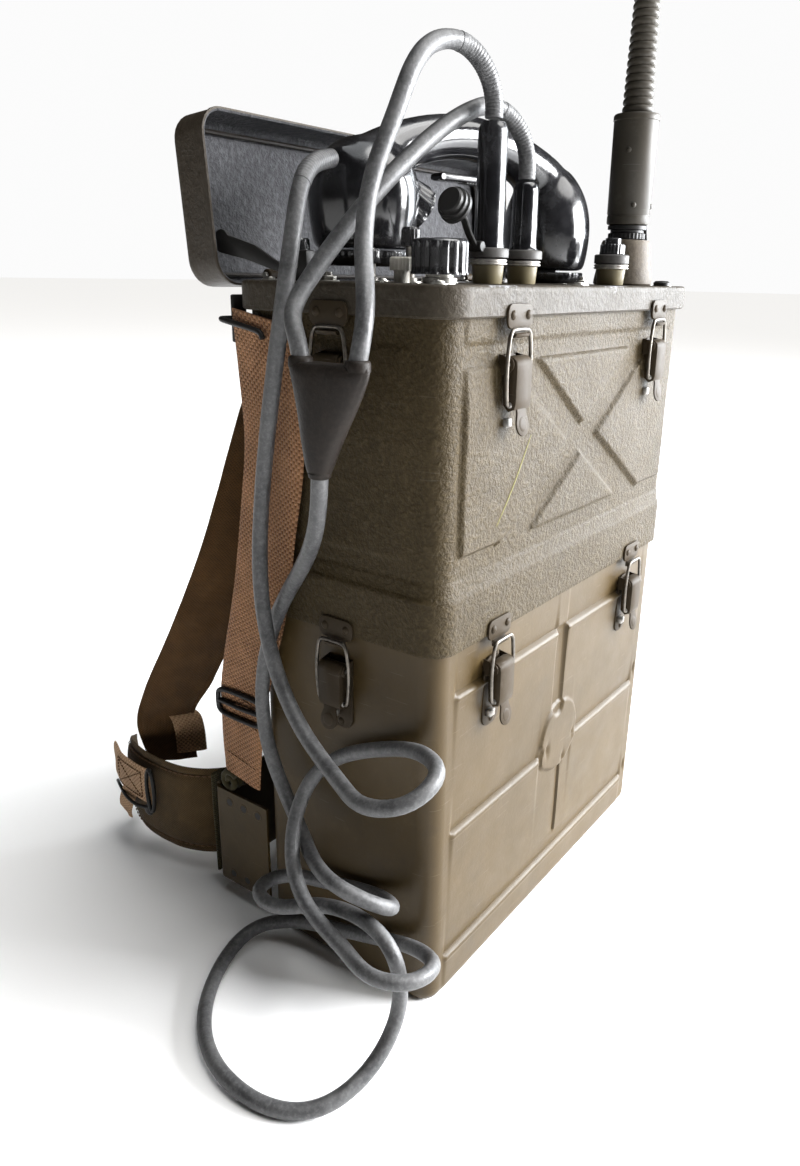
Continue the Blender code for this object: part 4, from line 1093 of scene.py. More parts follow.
for tag, side in (("left", -1), ("right", 1)):
    stay = Build()
    flat = Matrix(((0, 0, 1, side * 0.1500 - 0.0011), (1, 0, 0, STAY_PIN[0]),
                   (0, 1, 0, STAY_PIN[1]), (0, 0, 0, 1)))
    stay.plate(stay_outline(), 0.0022, BLACK_PAINT, flat, 0.0004)
    stay.lathe([(0.0050, 0), (0.0050, 0.0009), (0.0044, 0.0014), (0.0001, 0.0016)], NICKEL,
               at(side * 0.1500 - side * 0.0010, *STAY_PIN, turned(y=-side * 90)), 28)
    stay.screw(0.0026, 0.0012, NICKEL,
               at(side * 0.1500 - side * 0.0024, *STAY_PIN, turned(y=-side * 90)), 25)
    stay.done("stay_arm_" + tag, "lid_stay_" + tag, slot="black_paint",
              replaces=("lid_stay_" + tag,))
# --- latches -----------------------------------------------------------------------------------
LEVER_OUT = 0.0070


def lever_profile():
    """Side view of a lever as (out, z): round over the pivot, straight, then tapered."""
    top = [(0.0042 * cos(radians(d)), 0.0036 * sin(radians(d))) for d in range(200, -1, -15)]
    return top + [(0.0044, -0.0195), (0.0030, -0.0235), (0.0004, -0.0245), (-0.0030, -0.0215)]


def add_lever(name, body, node, face, along, pivot):
    place = latch_place(face, along, wall_distance(face) + LEVER_OUT, pivot)
    lever = Build(place)
    side = lever_profile()
    for x in (-0.0081, 0.0071):
        # maps a plate's (out, z) outline to the lever's frame, with -Y outwards
        upright = Matrix(((0, 0, 1, x), (-1, 0, 0, 0), (0, 1, 0, 0), (0, 0, 0, 1)))
        lever.plate(side, 0.0010, HARDWARE, upright, 0.0003)
    cover = [(-0.0028, 0.0030), (-0.0010, 0.0037), (0.0016, 0.0034), (0.0036, 0.0020),
             (0.0043, -0.0005), (0.0044, -0.0100), (0.0044, -0.0195), (0.0034, -0.0232)]
    curl(lever, [(-out, z) for out, z in cover], 0.0080, 0.0010, HARDWARE)
    # thumb tab: a neck that swells into a dished disc, bent away from the case
    tab = [(-0.0048, 0.0), (-0.0046, -0.0030)]
    tab += [(0.0064 * cos(radians(d)), -0.0092 + 0.0064 * sin(radians(d)))
            for d in range(150, 391, 15)]
    tab += [(0.0046, -0.0030), (0.0048, 0.0)]
    lean = at(0, -0.0026, -0.0225, turned(x=-10)) @ FACING
    lever.plate(tab, 0.0012, HARDWARE, lean, 0.0004)
    lever.rivet(0.0040, 0.0005, HARDWARE, lean @ at(0, -0.0092, 0.0012), 24)
    for x in (-0.0081, 0.0081):
        lever.rivet(0.0021, 0.0009, STEEL, at(x, 0, 0, turned(y=90 if x > 0 else -90)), 16)
        lever.rivet(0.0017, 0.0007, STEEL,
                    at(x, -0.0010, -0.0210, turned(y=90 if x > 0 else -90)), 16)
    lever.done(name, body, slot="olive_paint", replaces=(node,))


def bail_route(rise_to=0.0383, half=0.0110):
    """Wire from one lever side, bowed outwards, over the strike's lip and back down."""
    right = [(0.0088, 0.0), (0.0102, 0.0002), (half - 0.0001, 0.0016)]
    right += [(half + 0.0012 * sin(pi * k / 6), 0.0016 + (rise_to - 0.0066) * k / 6)
              for k in range(1, 6)]
    right += [(half - 0.0004, rise_to - 0.0042), (half - 0.0018, rise_to - 0.0014),
              (half - 0.0044, rise_to)]
    return right + [(-x, z) for x, z in reversed(right)]


def add_bail(name, body, node, face, along, pivot):
    place = latch_place(face, along, wall_distance(face) + LEVER_OUT, pivot)
    bail = Build(place)
    route = [(x, -0.0010, -0.0210 + z) for x, z in bail_route()]
    bail.tube(smooth_path(route, 70), 0.0011, WIRE, 12)
    bail.done(name, body, slot="worn_steel", smooth=60, replaces=(node,))


for level, pivot in (("upper", UPPER_PIVOT), ("lower", LOWER_PIVOT)):
    for tag, face, along in LATCH_FACES:
        key = level + "_" + tag
        add_lever("lever_" + key + "_look", "lever_" + key, "latch_lever_" + key, face, along,
                  pivot)
        add_bail("bail_" + key + "_look", "bail_" + key, "latch_bail_" + key, face, along,
                 pivot)
# --- knobs, sockets and plugs on the panel --------------------------------------------------------
TOP = DECK + 0.0003


def fluted_knob(name, node, x, y, radius, height, flutes, body, skirt=True, mat=None):
    """Moulded knob: metal foot, fluted grip, bevelled crown with a pointer line."""
    knob = Build(at(x, y, TOP))
    low = height * 0.22

    def grip(a, z):
        return 1 - 0.075 * (0.5 - 0.5 * cos(flutes * a)) ** 3 if low < z < height * 0.93 else 1

    knob.lathe([(radius * 0.55, 0.0), (radius * 0.62, 0.0004), (radius * 0.62, low * 0.55),
                (radius * 0.50, low * 0.62), (radius * 0.50, low)], NICKEL, None, 32)
    foot = radius * (1.03 if skirt else 0.92)
    rows = [(radius * 0.6, low * 0.9), (foot, low * 0.9), (foot, low * 1.05),
            (radius, low * 1.25)]
    rows += [(radius, low * 1.25 + (height * 0.88 - low * 1.25) * k / 6) for k in range(1, 7)]
    rows += [(radius * 0.985, height * 0.93), (radius * 0.93, height * 0.975),
             (radius * 0.84, height), (radius * 0.60, height * 1.0), (radius * 0.56,
                                                                     height * 0.975),
             (0.0001, height * 0.97)]
    knob.lathe(rows, mat or BLACK_KNOB, None, flutes * 10, grip)
    knob.box((radius * 0.10, radius * 0.62, 0.0004), (0, radius * 0.62, height), PALE_METAL, 0)
    knob.done(name, body, slot="black_moulding", smooth=32, replaces=(node,))


fluted_knob("tuning_knob", "knob_channel", -0.1195, -0.0400, 0.0147, 0.0215, 16,
            "knob_channel")


def stemmed_knob(name, node, x, y, radius, height, body, grip_low, flutes=14):
    """Small black knob on a steel stem with a collar nut."""
    knob = Build(at(x, y, TOP))
    knob.lathe([(radius * 0.8, 0), (radius * 0.8, 0.0022), (radius * 0.5, 0.0026),
                (radius * 0.5, grip_low)], STEEL, None, 24)
    knob.lathe([(radius * 0.55, grip_low), (radius, grip_low + 0.0005),
                (radius, height - 0.0012), (radius * 0.82, height),
                (0.0001, height)], BLACK_KNOB, None, flutes * 8,
               lambda a, z: 1 - (0.05 if z > grip_low + 0.0003 else 0) * (0.5 - 0.5
                                                                         * cos(flutes * a)))
    knob.screw(radius * 0.34, 0.0005, NICKEL, at(0, 0, height - 0.0002), 50)
    knob.done(name, body, slot="black_moulding", smooth=32, replaces=(node,))


stemmed_knob("volume_knob", "knob_volume", -0.1040, -0.0100, 0.0052, 0.0280, "knob_volume",
             0.0180)
stemmed_knob("squelch_knob", "knob_squelch", -0.1230, 0.0020, 0.0048, 0.0165, "knob_squelch",
             0.0090)

rear = Build(at(-0.1270, 0.0500, TOP))
rear.lathe([(0.0076, 0), (0.0078, 0.0006), (0.0078, 0.0030), (0.0066, 0.0034),
            (0.0066, 0.0048), (0.0074, 0.0050), (0.0074, 0.0064), (0.0060, 0.0068)], NICKEL,
           None, 36)
rear.lathe([(0.0058, 0.0060), (0.0080, 0.0072), (0.0084, 0.0080), (0.0084, 0.0142),
            (0.0078, 0.0150), (0.0058, 0.0154), (0.0056, 0.0212), (0.0048, 0.0220),
            (0.0001, 0.0221)], BLACK_KNOB, None, 160,
           lambda a, z: 1 - (0.05 if 0.0079 < z < 0.0143 else 0) * (0.5 - 0.5 * cos(20 * a)))
rear.done("rear_knob", "knob_rear", slot="black_moulding", smooth=32, replaces=("knob_rear",))


def socket_rows():
    """Olive cup that narrows towards the panel."""
    return [(0.0079, 0.0), (0.0082, 0.0006), (0.0086, 0.0060), (0.0089, 0.0096),
            (0.0080, 0.0104)]


def add_socket(build, wide=1.0):
    """Socket cup with its stack of rings."""
    build.lathe([(r * wide, z) for r, z in socket_rows()], SOCKET_PAINT, None, 48)
    build.lathe([(0.0098 * wide, 0.0098), (0.0106 * wide, 0.0102), (0.0106 * wide, 0.0109),
                 (0.0098 * wide, 0.0112), (0.0098 * wide, 0.0115), (0.0105 * wide, 0.0118),
                 (0.0105 * wide, 0.0125), (0.0096 * wide, 0.0129)], STEEL, None, 48)


def plug_rows(radius, top):
    """Flat gripping ring, then a long polished shell with a rounded shoulder."""
    return ([(0.0098, 0.0133), (0.0112, 0.0137), (0.0112, 0.0178), (0.0106, 0.0184),
             (0.0090, 0.0186)],
            [(0.0089, 0.0180), (radius + 0.0004, 0.0196), (radius, 0.0230),
             (radius, top * 0.60), (radius * 0.985, top * 0.62), (radius * 0.985, top - 0.0050),
             (radius * 0.95, top - 0.0032), (radius * 0.86, top - 0.0020),
             (radius * 0.80, top - 0.0006), (0.0046, top), (0.0045, top - 0.0010)])


for tag, spot, radius, top in (("long", (-0.0730, -0.0400), 0.0080, 0.0807),
                               ("short", (-0.0350, -0.0400), 0.0074, 0.0547)):
    jack = Build(at(*spot, TOP))
    add_socket(jack)
    jack.done("socket_" + tag, slot="olive_paint", smooth=32, replaces=("jack_" + tag,))
    ring, barrel = plug_rows(radius, top)
    plug = Build(at(*spot, TOP))
    plug.lathe(ring, PLUG_RING, None, 60)
    plug.lathe(barrel, BLACK, None, 40, lambda a, z: 1 - 0.012 * cos(10 * a))
    plug.done("plug_" + tag + "_look", slot="black_moulding", smooth=50,
              replaces=("plug_" + tag,))

# swung-open dust cover: ribbed disc with a rolled lip, on a bent arm
tilt = at(-0.1050, -0.0400, 0.4690, turned(y=-65))
cover = Build()
cover.lathe([(0.0060, -0.0004), (0.0082, 0.0), (0.0090, 0.0006), (0.0090, 0.0024),
             (0.0080, 0.0030), (0.0078, 0.0036), (0.0084, 0.0042), (0.0084, 0.0056),
             (0.0072, 0.0062), (0.0070, 0.0080), (0.0062, 0.0088), (0.0001, 0.0088)],
            BLACK_PAINT, tilt, 48)
cover.lathe([(0.0056, 0.0086), (0.0056, 0.0060), (0.0001, 0.0058)], STEEL, tilt, 32)
arm = smooth_path([(-0.1020, -0.0400, 0.4665), (-0.0985, -0.0400, 0.4640),
                   (-0.0930, -0.0400, 0.4570), (-0.0868, -0.0400, 0.4512)], 16)
cover.tube(arm, 0.0022, BLACK_PAINT, 12, squeeze=lambda t: 0.55)
cover.lathe([(0.0024, -0.0040), (0.0028, -0.0036), (0.0028, 0.0036), (0.0024, 0.0040)],
            BLACK_PAINT, at(-0.0852, -0.0400, 0.4512, turned(x=90)), 24)
cover.done("dust_cover", "jack_cover", slot="black_paint", smooth=32,
           replaces=("jack_cover",))

# aerial trimmer: a third socket with a knurled cap on it
trim = Build(at(0.0600, -0.0530, TOP))
add_socket(trim, 1.06)
trim.lathe([(0.0100, 0.0130), (0.0112, 0.0134), (0.0112, 0.0182), (0.0104, 0.0188),
            (0.0070, 0.0189)], PLUG_RING, None, 60)
trim.lathe([(0.0070, 0.0186), (0.0080, 0.0192), (0.0080, 0.0246), (0.0074, 0.0252),
            (0.0052, 0.0254), (0.0050, 0.0286), (0.0044, 0.0290), (0.0001, 0.0290)],
           BLACK_KNOB, None, 180,
           lambda a, z: 1 - (0.04 if 0.0190 < z < 0.0248 else 0) * (0.5 - 0.5 * cos(22 * a)))
trim.done("aerial_trimmer", "antenna_trim_knob", slot="black_moulding", smooth=32,
          replaces=("antenna_trim_knob",))

# --- aerial: rubber cone, collar, painted sleeve, ribbed gooseneck and whip ---------------------
MAST = (0.1100, -0.0400)
cone = Build(at(*MAST, 0))
cone.lathe([(0.0196, TOP), (0.0205, TOP + 0.0010), (0.0202, TOP + 0.0040), (0.0186, 0.4450),
            (0.0172, 0.4560), (0.0167, 0.4600), (0.0158, 0.4618), (0.0120, 0.4622)],
           CONE_RUBBER, None, 56)
cone.done("aerial_cone", slot="base_rubber", smooth=35, replaces=("antenna_base",))

sleeve = Build(at(*MAST, 0))
sleeve.lathe([(0.0110, 0.4624), (0.0126, 0.4628), (0.0126, 0.4662), (0.0112, 0.4668),
              (0.0112, 0.4684), (0.0132, 0.4688), (0.0132, 0.4712), (0.0120, 0.4718)],
             BLACK_PAINT, None, 120, lambda a, z: 1 - (0.02 if z < 0.4664 else 0) * cos(28 * a))
sleeve.lathe([(0.0120, 0.4716), (0.0139, 0.4722), (0.0144, 0.4732), (0.0144, 0.4772),
              (0.0141, 0.4776), (0.0141, 0.4784), (0.0145, 0.4790), (0.0149, 0.5366),
              (0.0153, 0.5370), (0.0153, 0.5398), (0.0146, 0.5408), (0.0098, 0.5412)],
             SLEEVE, None, 72)
SLEEVE_SKIN = 0.0146
for heading, z in ((215, 0.4840), (300, 0.4840), (190, 0.5180)):
    a = radians(heading)
    outwards = Matrix.Rotation(a, 4, 'Z') @ turned(y=90)
    sleeve.rivet(0.0019, 0.0012, SLEEVE,
                 at(SLEEVE_SKIN * cos(a), SLEEVE_SKIN * sin(a), z, outwards), 16)
sleeve.done("aerial_sleeve", slot="olive_paint", smooth=35, replaces=("antenna_sleeve",))


def ribbed_rows(z0, z1, r0, r1, pitch, depth):
    """Rounded ribs whose radius tapers from one end to the other."""
    count = int((z1 - z0) / pitch)
    rows = []
    for k in range(count * 8 + 1):
        t = k / (count * 8)
        wave = abs(sin(pi * k / 8)) ** 0.6
        rows.append((r0 + (r1 - r0) * t - depth * (1 - wave), z0 + (z1 - z0) * t))
    return rows


neck = Build(at(*MAST, 0))
neck.lathe(ribbed_rows(0.5414, 0.6990, 0.0103, 0.0062, 0.0046, 0.0013), SLEEVE, None, 40)
neck.lathe([(0.0050, 0.6985), (0.0062, 0.6990), (0.0058, 0.7000)], SLEEVE, None, 40)
neck.done("aerial_gooseneck", slot="olive_paint", smooth=60, replaces=("antenna_gooseneck",))

whip = Build(at(*MAST, 0))
whip.lathe([(0.0046, 0.7003), (0.0046, 0.7120), (0.0034, 0.7140), (0.0030, 0.7160),
            (0.0027, 0.8960), (0.0034, 0.8964), (0.0034, 0.9040), (0.0025, 0.9044),
            (0.0022, 1.0900), (0.0029, 1.0904), (0.0029, 1.0970), (0.0020, 1.0974),
            (0.0016, 1.2640), (0.0024, 1.2650), (0.0025, 1.2680), (0.0016, 1.2698),
            (0.0001, 1.2700)], SLEEVE, None, 20)
whip.done("aerial_whip", slot="olive_paint", smooth=35, replaces=("antenna_whip",))

rod = Build()
rod.tube(smooth_path(mm((134, -49, 432.6), (134, -48.6, 437), (133.6, -47.2, 446),
                        (130, -36, 540), (122, -11, 750)), 60), 0.0013, BLACK_PAINT, 10)
rod.lathe([(0.0034, 0.0), (0.0034, 0.0020), (0.0024, 0.0030), (0.0013, 0.0034)], NICKEL,
          at(0.134, -0.049, DECK), 20)
rod.done("aerial_rod", slot="black_paint", smooth=50, replaces=("antenna_rod",))
# --- handset ------------------------------------------------------------------------------------
MOUTH, EAR = (-0.089, 0.035), (0.062, -0.002)
MOUTH_Z, EAR_Z = 0.4490, 0.4400


def along_handset(t):
    return (MOUTH[0] + (EAR[0] - MOUTH[0]) * t, MOUTH[1] + (EAR[1] - MOUTH[1]) * t)


def handle_route():
    """Centre line of the grip: flat in the middle, bending down at both ends."""
    points = []
    for k in range(25):
        t = -0.04 + 1.08 * k / 24
        inside = min(max(t, 0.0), 1.0)
        points.append((*along_handset(t), 0.487 + 0.0285 * sin(pi * inside) ** 0.62))
    return points


def dome_rows(radius, rim, widest, waist, high):
    """Cup in one sweep: from the rim out to its widest at 'waist', then over to the top."""
    rows = [(0.0001, rim + 0.0010), (radius * 0.90, rim + 0.0008), (radius * 0.985, rim)]
    for k in range(13):
        swell = sin(radians(90 * k / 12))
        rows.append((radius + (widest - radius) * swell, rim + 0.0008 + (waist - rim) * k / 12))
    for k in range(1, 16):
        a = radians(6 * k)
        rows.append((max(0.0001, widest * cos(a)), waist + 0.0008 + (high - waist) * sin(a)))
    return rows


def remeshed(build, name, voxel, smoothing):
    """Fuse a piece's overlapping shapes into one skin and round off where they meet."""
    rough = bpy.data.meshes.new(name + "_rough")
    build.bm.to_mesh(rough)
    build.bm.free()
    temp = bpy.data.objects.new(name + "_rough", rough)
    bpy.context.scene.collection.objects.link(temp)
    step = temp.modifiers.new("fuse", 'REMESH')
    step.mode = 'VOXEL'
    step.voxel_size = voxel
    ease = temp.modifiers.new("ease", 'SMOOTH')
    ease.factor = 0.5
    ease.iterations = smoothing
    graph = bpy.context.evaluated_depsgraph_get()
    mesh = bpy.data.meshes.new_from_object(temp.evaluated_get(graph), depsgraph=graph)
    bpy.data.objects.remove(temp, do_unlink=True)
    mesh.materials.clear()
    for mat in build.mats:
        mesh.materials.append(mat)
    mesh.name = name
    return mesh


grip = Build()
grip.tube(smooth_path(handle_route(), 70), 0.0137, BLACK, 36,
          profile=lambda t: 1.0 + 0.55 * abs(2 * t - 1) ** 3.2,
          squeeze=lambda t: 0.94)
grip.lathe(dome_rows(0.0286, MOUTH_Z, 0.0322, 0.4780, 0.5090), BLACK, at(*MOUTH, 0), 72)
grip.lathe(dome_rows(0.0271, EAR_Z, 0.0296, 0.4640, 0.5060), BLACK, at(*EAR, 0), 72)
exit_way = smooth_path([(-0.100, 0.033, 0.4920), (-0.112, 0.0325, 0.4935),
                        (-0.1165, 0.0315, 0.4940)], 12)
grip.tube(exit_way, 0.0082, BLACK, 28, profile=lambda t: 1.25 - 0.30 * t)
mesh = remeshed(grip, "handset_grip", 0.0014, 60)
settle(mesh, "handset_grip", 'root', 0, ("handset_body",))

# fluted mouthpiece horn, facing down and inwards from the left-hand cup
HORN_AXIS = Vector((0.72, -0.17, -0.67)).normalized()
horn = Build(Matrix.Translation((-0.0750, 0.0280, 0.4800))
             @ HORN_AXIS.to_track_quat('Z', 'Y').to_matrix().to_4x4())
horn.lathe([(0.0001, -0.004), (0.0150, -0.004), (0.0168, 0.0), (0.0180, 0.0040),
            (0.0196, 0.0085), (0.0212, 0.0125), (0.0222, 0.0150), (0.0224, 0.0162),
            (0.0216, 0.0170), (0.0200, 0.0160), (0.0120, 0.0100), (0.0001, 0.0085)], BLACK,
           None, 168, lambda a, z: 1 - (0.075 * abs(cos(6 * a)) ** 2.0 if 0.001 < z < 0.0165
                                        else 0.0))
horn.done("mouthpiece_horn", slot="black_moulding", smooth=32)


def cap_piece(name, node, spot, radius, z0, z1, flutes):
    """Screwed-on cap: finely fluted edge, slotted face turned down, the slots thin bars of painted
    shade.
    """
    cap = Build(at(*spot, 0))
    high = z1 - z0
    cap.lathe([(0.0001, z0 + 0.0004), (radius - 0.0070, z0 + 0.0002),
               (radius - 0.0050, z0), (radius - 0.0030, z0 + high * 0.12),
               (radius - 0.0006, z0 + high * 0.42), (radius, z0 + high * 0.62),
               (radius, z1 - 0.0006), (radius - 0.0006, z1)], BLACK, None, flutes * 6,
              lambda a, z: 1 - (0.012 if z > z0 + high * 0.3 else 0) * (0.5 - 0.5
                                                                       * cos(flutes * a)))
    # slots: thin near-black bars of painted shade laid on the face
    for k in range(6):
        a = pi * k / 3
        cap.box((0.0030, 0.0090, 0.0006), (0.0120 * cos(a), 0.0120 * sin(a), z0 + 0.0002),
                RECESS_SHADE, 0.0002, turned(z=60 * k + 90))
    cap.done(name, slot="black_moulding", smooth=32, replaces=(node,))


cap_piece("mouthpiece_cap", "handset_mouthpiece_cap", MOUTH, 0.0282, 0.4405, 0.4487, 32)
cap_piece("earpiece_cap", "handset_earpiece_cap", EAR, 0.0268, 0.4325, 0.4397, 32)

mid = along_handset(0.50)
switch = Build(at(*mid, 0.4925, turned(z=-13.75)))
switch.box((0.0460, 0.0100, 0.0045), (0, 0, 0), BLACK, 0.0018, segments=4)
for k in range(9):
    switch.box((0.0010, 0.0086, 0.0006), (-0.0010 + 0.0024 * k, 0, -0.0023), BLACK, 0.0002)
switch.lathe([(0.0016, -0.0052), (0.0016, 0.0052)], BLACK,
             at(-0.0215, 0, 0, turned(x=90)), 16)
switch.done("press_to_talk_bar", "talk_switch", slot="black_moulding",
            replaces=("handset_talk_switch",))


def ribbed_sleeve(name, route, count, start, length, radius, pitch=0.0019):
    """Moulded ribs round the first stretch of a cord, fading out along it."""
    points = cord_path(route, count)
    spacing = path_length(points) / (count - 1)
    first, last = int(start / spacing), int((start + length) / spacing)
    fine = smooth_path(points[first:last + 1], int(length / pitch * 6))

    def profile(t):
        fade = min(1.0, 4 * (1 - t))
        return 1 + 0.055 * fade * (abs(sin(pi * t * length / pitch)) ** 0.7 - 0.5)

    relief = Build()
    relief.tube(fine, radius, RUBBER, 20, profile=profile)
    relief.done(name, slot="cord_rubber", smooth=60)


ribbed_sleeve("cord_relief_handset", HANDSET_CORD, 420, 0.0, 0.036, 0.00475)
ribbed_sleeve("cord_relief_long", LONG_LEAD[::-1], 90, 0.0, 0.046, 0.00472)
ribbed_sleeve("cord_relief_short", SHORT_LEAD[::-1], 90, 0.0, 0.042, 0.00472)

# moulded Y joint with a parting line and two cuffs
rows = ((340.6, -19.0, 4.6, 4.6), (342.4, -19.0, 6.2, 5.6), (347, -19.4, 7.9, 6.6),
        (355, -20.6, 10.4, 7.7), (363, -22.0, 13.2, 8.3), (372, -23.8, 16.6, 8.7),
        (381, -25.2, 20.0, 8.9), (389, -25.9, 23.0, 8.7), (393.4, -26.0, 24.2, 8.2),
        (395.0, -26.0, 23.6, 7.2), (395.6, -26.0, 21.0, 5.8))
rings = []
for z, y, half_y, half_x in rows:
    ring = []
    for k in range(64):
        a = 2 * pi * k / 64
        seam = 1 + 0.03 * exp(-(sin(a) ** 2 - 1) ** 2 / 0.0004)
        full = 0.86
        x = half_x * abs(cos(a)) ** full * (1 if cos(a) > 0 else -1)
        wide = half_y * abs(sin(a)) ** full * (1 if sin(a) > 0 else -1)
        pinch = 1 - 0.22 * max(0.0, (z - 365) / 30) * exp(-(wide / 5.0) ** 2)
        ring.append(Vector(((-190 + x * pinch) * MM, (y + wide * seam) * MM, z * MM)))
    rings.append(ring)
junction = Build()
junction.faces(*rings_to_mesh(rings), JOINT_RUBBER)
for y, z in ((-44, 395.0), (-8, 395.0)):
    junction.lathe([(0.0062, -0.0020), (0.0062, 0.0018), (0.0056, 0.0030), (0.0046, 0.0034)],
                   JOINT_RUBBER, at(-0.190, y * MM, z * MM), 28)
junction.lathe([(0.0046, -0.0030), (0.0056, -0.0022), (0.0060, 0.0)], JOINT_RUBBER,
               at(-0.190, -0.019, 0.3420), 28)
junction.done("cord_joint_moulding", slot="cord_rubber", smooth=50,
              replaces=("cord_junction",))
# --- harness -------------------------------------------------------------------------------------
BACK = CASE_D / 2 + 0.0003
FRAME_Y, FRAME_Z = 0.1210, (0.0140, 0.0900)


def spline_rows(rows, count):
    """Centre, half-width vector and face direction, resampled smoothly along a strap."""
    centres = smooth_path([r[0] for r in rows], count)
    halves, faces = [], []
    lengths = [0.0]
    for a, b in zip(rows, rows[1:]):
        lengths.append(lengths[-1] + (Vector(b[0]) - Vector(a[0])).length)
    for i in range(count):
        want = lengths[-1] * i / (count - 1)
        k = min(len(rows) - 2, sum(1 for v in lengths[1:-1] if v <= want))
        t = (want - lengths[k]) / (lengths[k + 1] - lengths[k])
        t = t * t * (3 - 2 * t) * 0.5 + t * 0.5
        halves.append(Vector(rows[k][1]).lerp(Vector(rows[k + 1][1]), t))
        faces.append(Vector(rows[k][2]).normalized().lerp(Vector(rows[k + 1][2]).normalized(),
                                                          t).normalized())
    return centres, halves, faces


def strap(name, mat, rows, thick, count=80, across=13, wave=0.0, seed=0.0,
          replaces=(), selvedge=0.12):
    """Flat woven strap in metres; its UV runs in metres across and along the weave."""
    centres, halves, faces = spline_rows(rows, count)
    points = np.zeros((count, 2 * across, 3))
    uv = np.zeros((count, 2 * across, 2))
    run = 0.0
    for i in range(count):
        if i:
            run += (centres[i] - centres[i - 1]).length
        half = halves[i].length
        for j in range(2 * across):
            upper = j < across
            c = -1 + 2 * (j if upper else 2 * across - 1 - j) / (across - 1)
            edge = abs(c) ** 10
            t = thick / 2 * (1 + selvedge * exp(-((abs(c) - 0.90) / 0.05) ** 2)) * (1 - 0.75
                                                                                 * edge)
            ripple = wave * noise.noise(Vector((c * 1.3 + seed, run * 22, seed * 3.1)))
            lift = ripple + (t if upper else -t)
            p = centres[i] + halves[i] * c + faces[i] * lift
            points[i, j] = p
            uv[i, j] = (c * half, run)
    mesh = grid_mesh(name, points, mat, caps=(True, True), uv=uv)
    return settle(mesh, name, 'root', 50, replaces)


def stitches(name, mat, lines, pitch=0.0032, radius=0.00038, slot="tan_webbing"):
    """Short raised threads along each (points, lift) line."""
    build = Build()
    for points in lines:
        path = [Vector(p) for p in points]
        total = path_length(path)
        count = max(2, int(total / pitch))
        fine = smooth_path(path, count * 4 + 1)
        for k in range(count):
            piece = fine[k * 4:k * 4 + 4]
            if len(piece) > 2:
                build.tube(piece, radius, mat, 6, profile=lambda t: 0.55 + 0.9 * sin(pi * t))
    return build.done(name, 'root', slot, 80)


def flip(rows, side):
    return [tuple(Vector((side * v[0], v[1], v[2])) for v in row) for row in rows]


def metres(rows):
    return [(Vector(c) * MM, Vector(h) * MM, Vector(f)) for c, h, f in rows]


SIDE_STRAP = metres((
    ((-159.2, 49, 413), (0, 23, 4), (-1, 0, 0)), ((-159.2, 46, 380), (0, 23, 3), (-1, 0, 0)),
    ((-159.2, 44, 340), (0, 23, 3), (-1, 0, 0)), ((-159.2, 52, 290), (0, 22.5, 3), (-1, 0, 0)),
    ((-159.2, 62, 240), (0, 22, 4), (-1, 0, 0)), ((-159.2, 72, 205), (0, 21, 4), (-1, 0, 0)),
    ((-159.2, 80, 172), (0, 20, 5), (-1, 0, 0)), ((-159.2, 83, 140), (0, 18, 4), (-1, 0, 0)),
    ((-159.2, 84, 112), (0, 16, 3), (-1, 0, 0))))
SHOULDER_STRAP = metres((
    ((-84, 99, 398), (24, 0, 0), (0, 1, 0.3)), ((-92, 112, 350), (24, -6, 0), (0.3, 1, 0.3)),
    ((-108, 128, 270), (20, -14, 0), (0.6, 1, 0.2)),
    ((-118, 156, 200), (19, -16, 0), (0.7, 1, 0.3)),
    ((-124, 188, 140), (18, -17, 0), (0.8, 1, 0.3)),
    ((-127, 206, 104), (16, -14, 0), (0.8, 1, 0.3)),
    ((-123, 205, 66), (14, -12, 0), (0.8, 1, 0.1))))
WAIST_PAD = metres((
    ((-120, 127, 54), (0, 0, 34), (-0.5, -1, 0)), ((-138, 138, 54), (0, 0, 36), (-1, -1, 0)),
    ((-150, 158, 54), (0, 0, 36), (-1, -0.3, 0)), ((-153, 185, 53), (0, 0, 36), (-1, 0, 0)),
    ((-150, 212, 52), (0, 0, 36), (-1, 0.3, 0)), ((-140, 234, 51), (0, 0, 33), (-1, 0.8, 0)),
    ((-128, 244, 50), (0, 0, 28), (-0.5, 1, 0))))
BELT = metres((
    ((-160.8, 184, 67), (0, 0, 15), (-1, 0, 0)), ((-161.5, 194, 67), (0, 0, 15), (-1, 0, 0)),
    ((-160.5, 208, 67), (0, 0, 15), (-1, 0.1, 0)),
    ((-157.5, 224, 67), (0, 0, 15), (-1, 0.35, 0)), ((-149.5, 242, 67), (0, 0, 15), (-1, 0.8, 0))))
BELT_TAIL = metres((
    ((-158.5, 214, 53), (0, 9, 0), (-1, 0.2, 0)), ((-160.5, 217, 44), (0, 8, 1), (-1, 0.3, 0)),
    ((-159.0, 222, 34), (0, 7, 2), (-1, 0.5, 0)), ((-155.5, 225, 26), (0, 5, 3), (-1, 0.7, 0))))
KEEPER = metres((
    ((-116, 190, 76), (9, -7, 0), (0.7, 1, 0)), ((-116, 191, 94), (9, -7, 0), (0.7, 1, 0)),
    ((-117, 194, 106), (9, -7, 0), (0.5, 0.6, 0.7)), ((-120, 201, 110), (9, -7, 0), (0, 0, 1)),
    ((-122, 208, 106), (9, -7, 0), (-0.5, -0.6, 0.7)),
    ((-122.5, 210, 96), (9, -7, 0), (-0.7, -1, 0))))
EDGE_STRIP = metres((
    ((-146, 125.5, 96), (6, 0, 0), (0, 1, 0)), ((-146, 125.5, 70), (6, 0, 0), (0, 1, 0)),
    ((-146, 125.0, 40), (6, 0, 0), (0, 1, 0)), ((-146, 124.5, 15), (6, 0, 0), (0, 1, 0))))
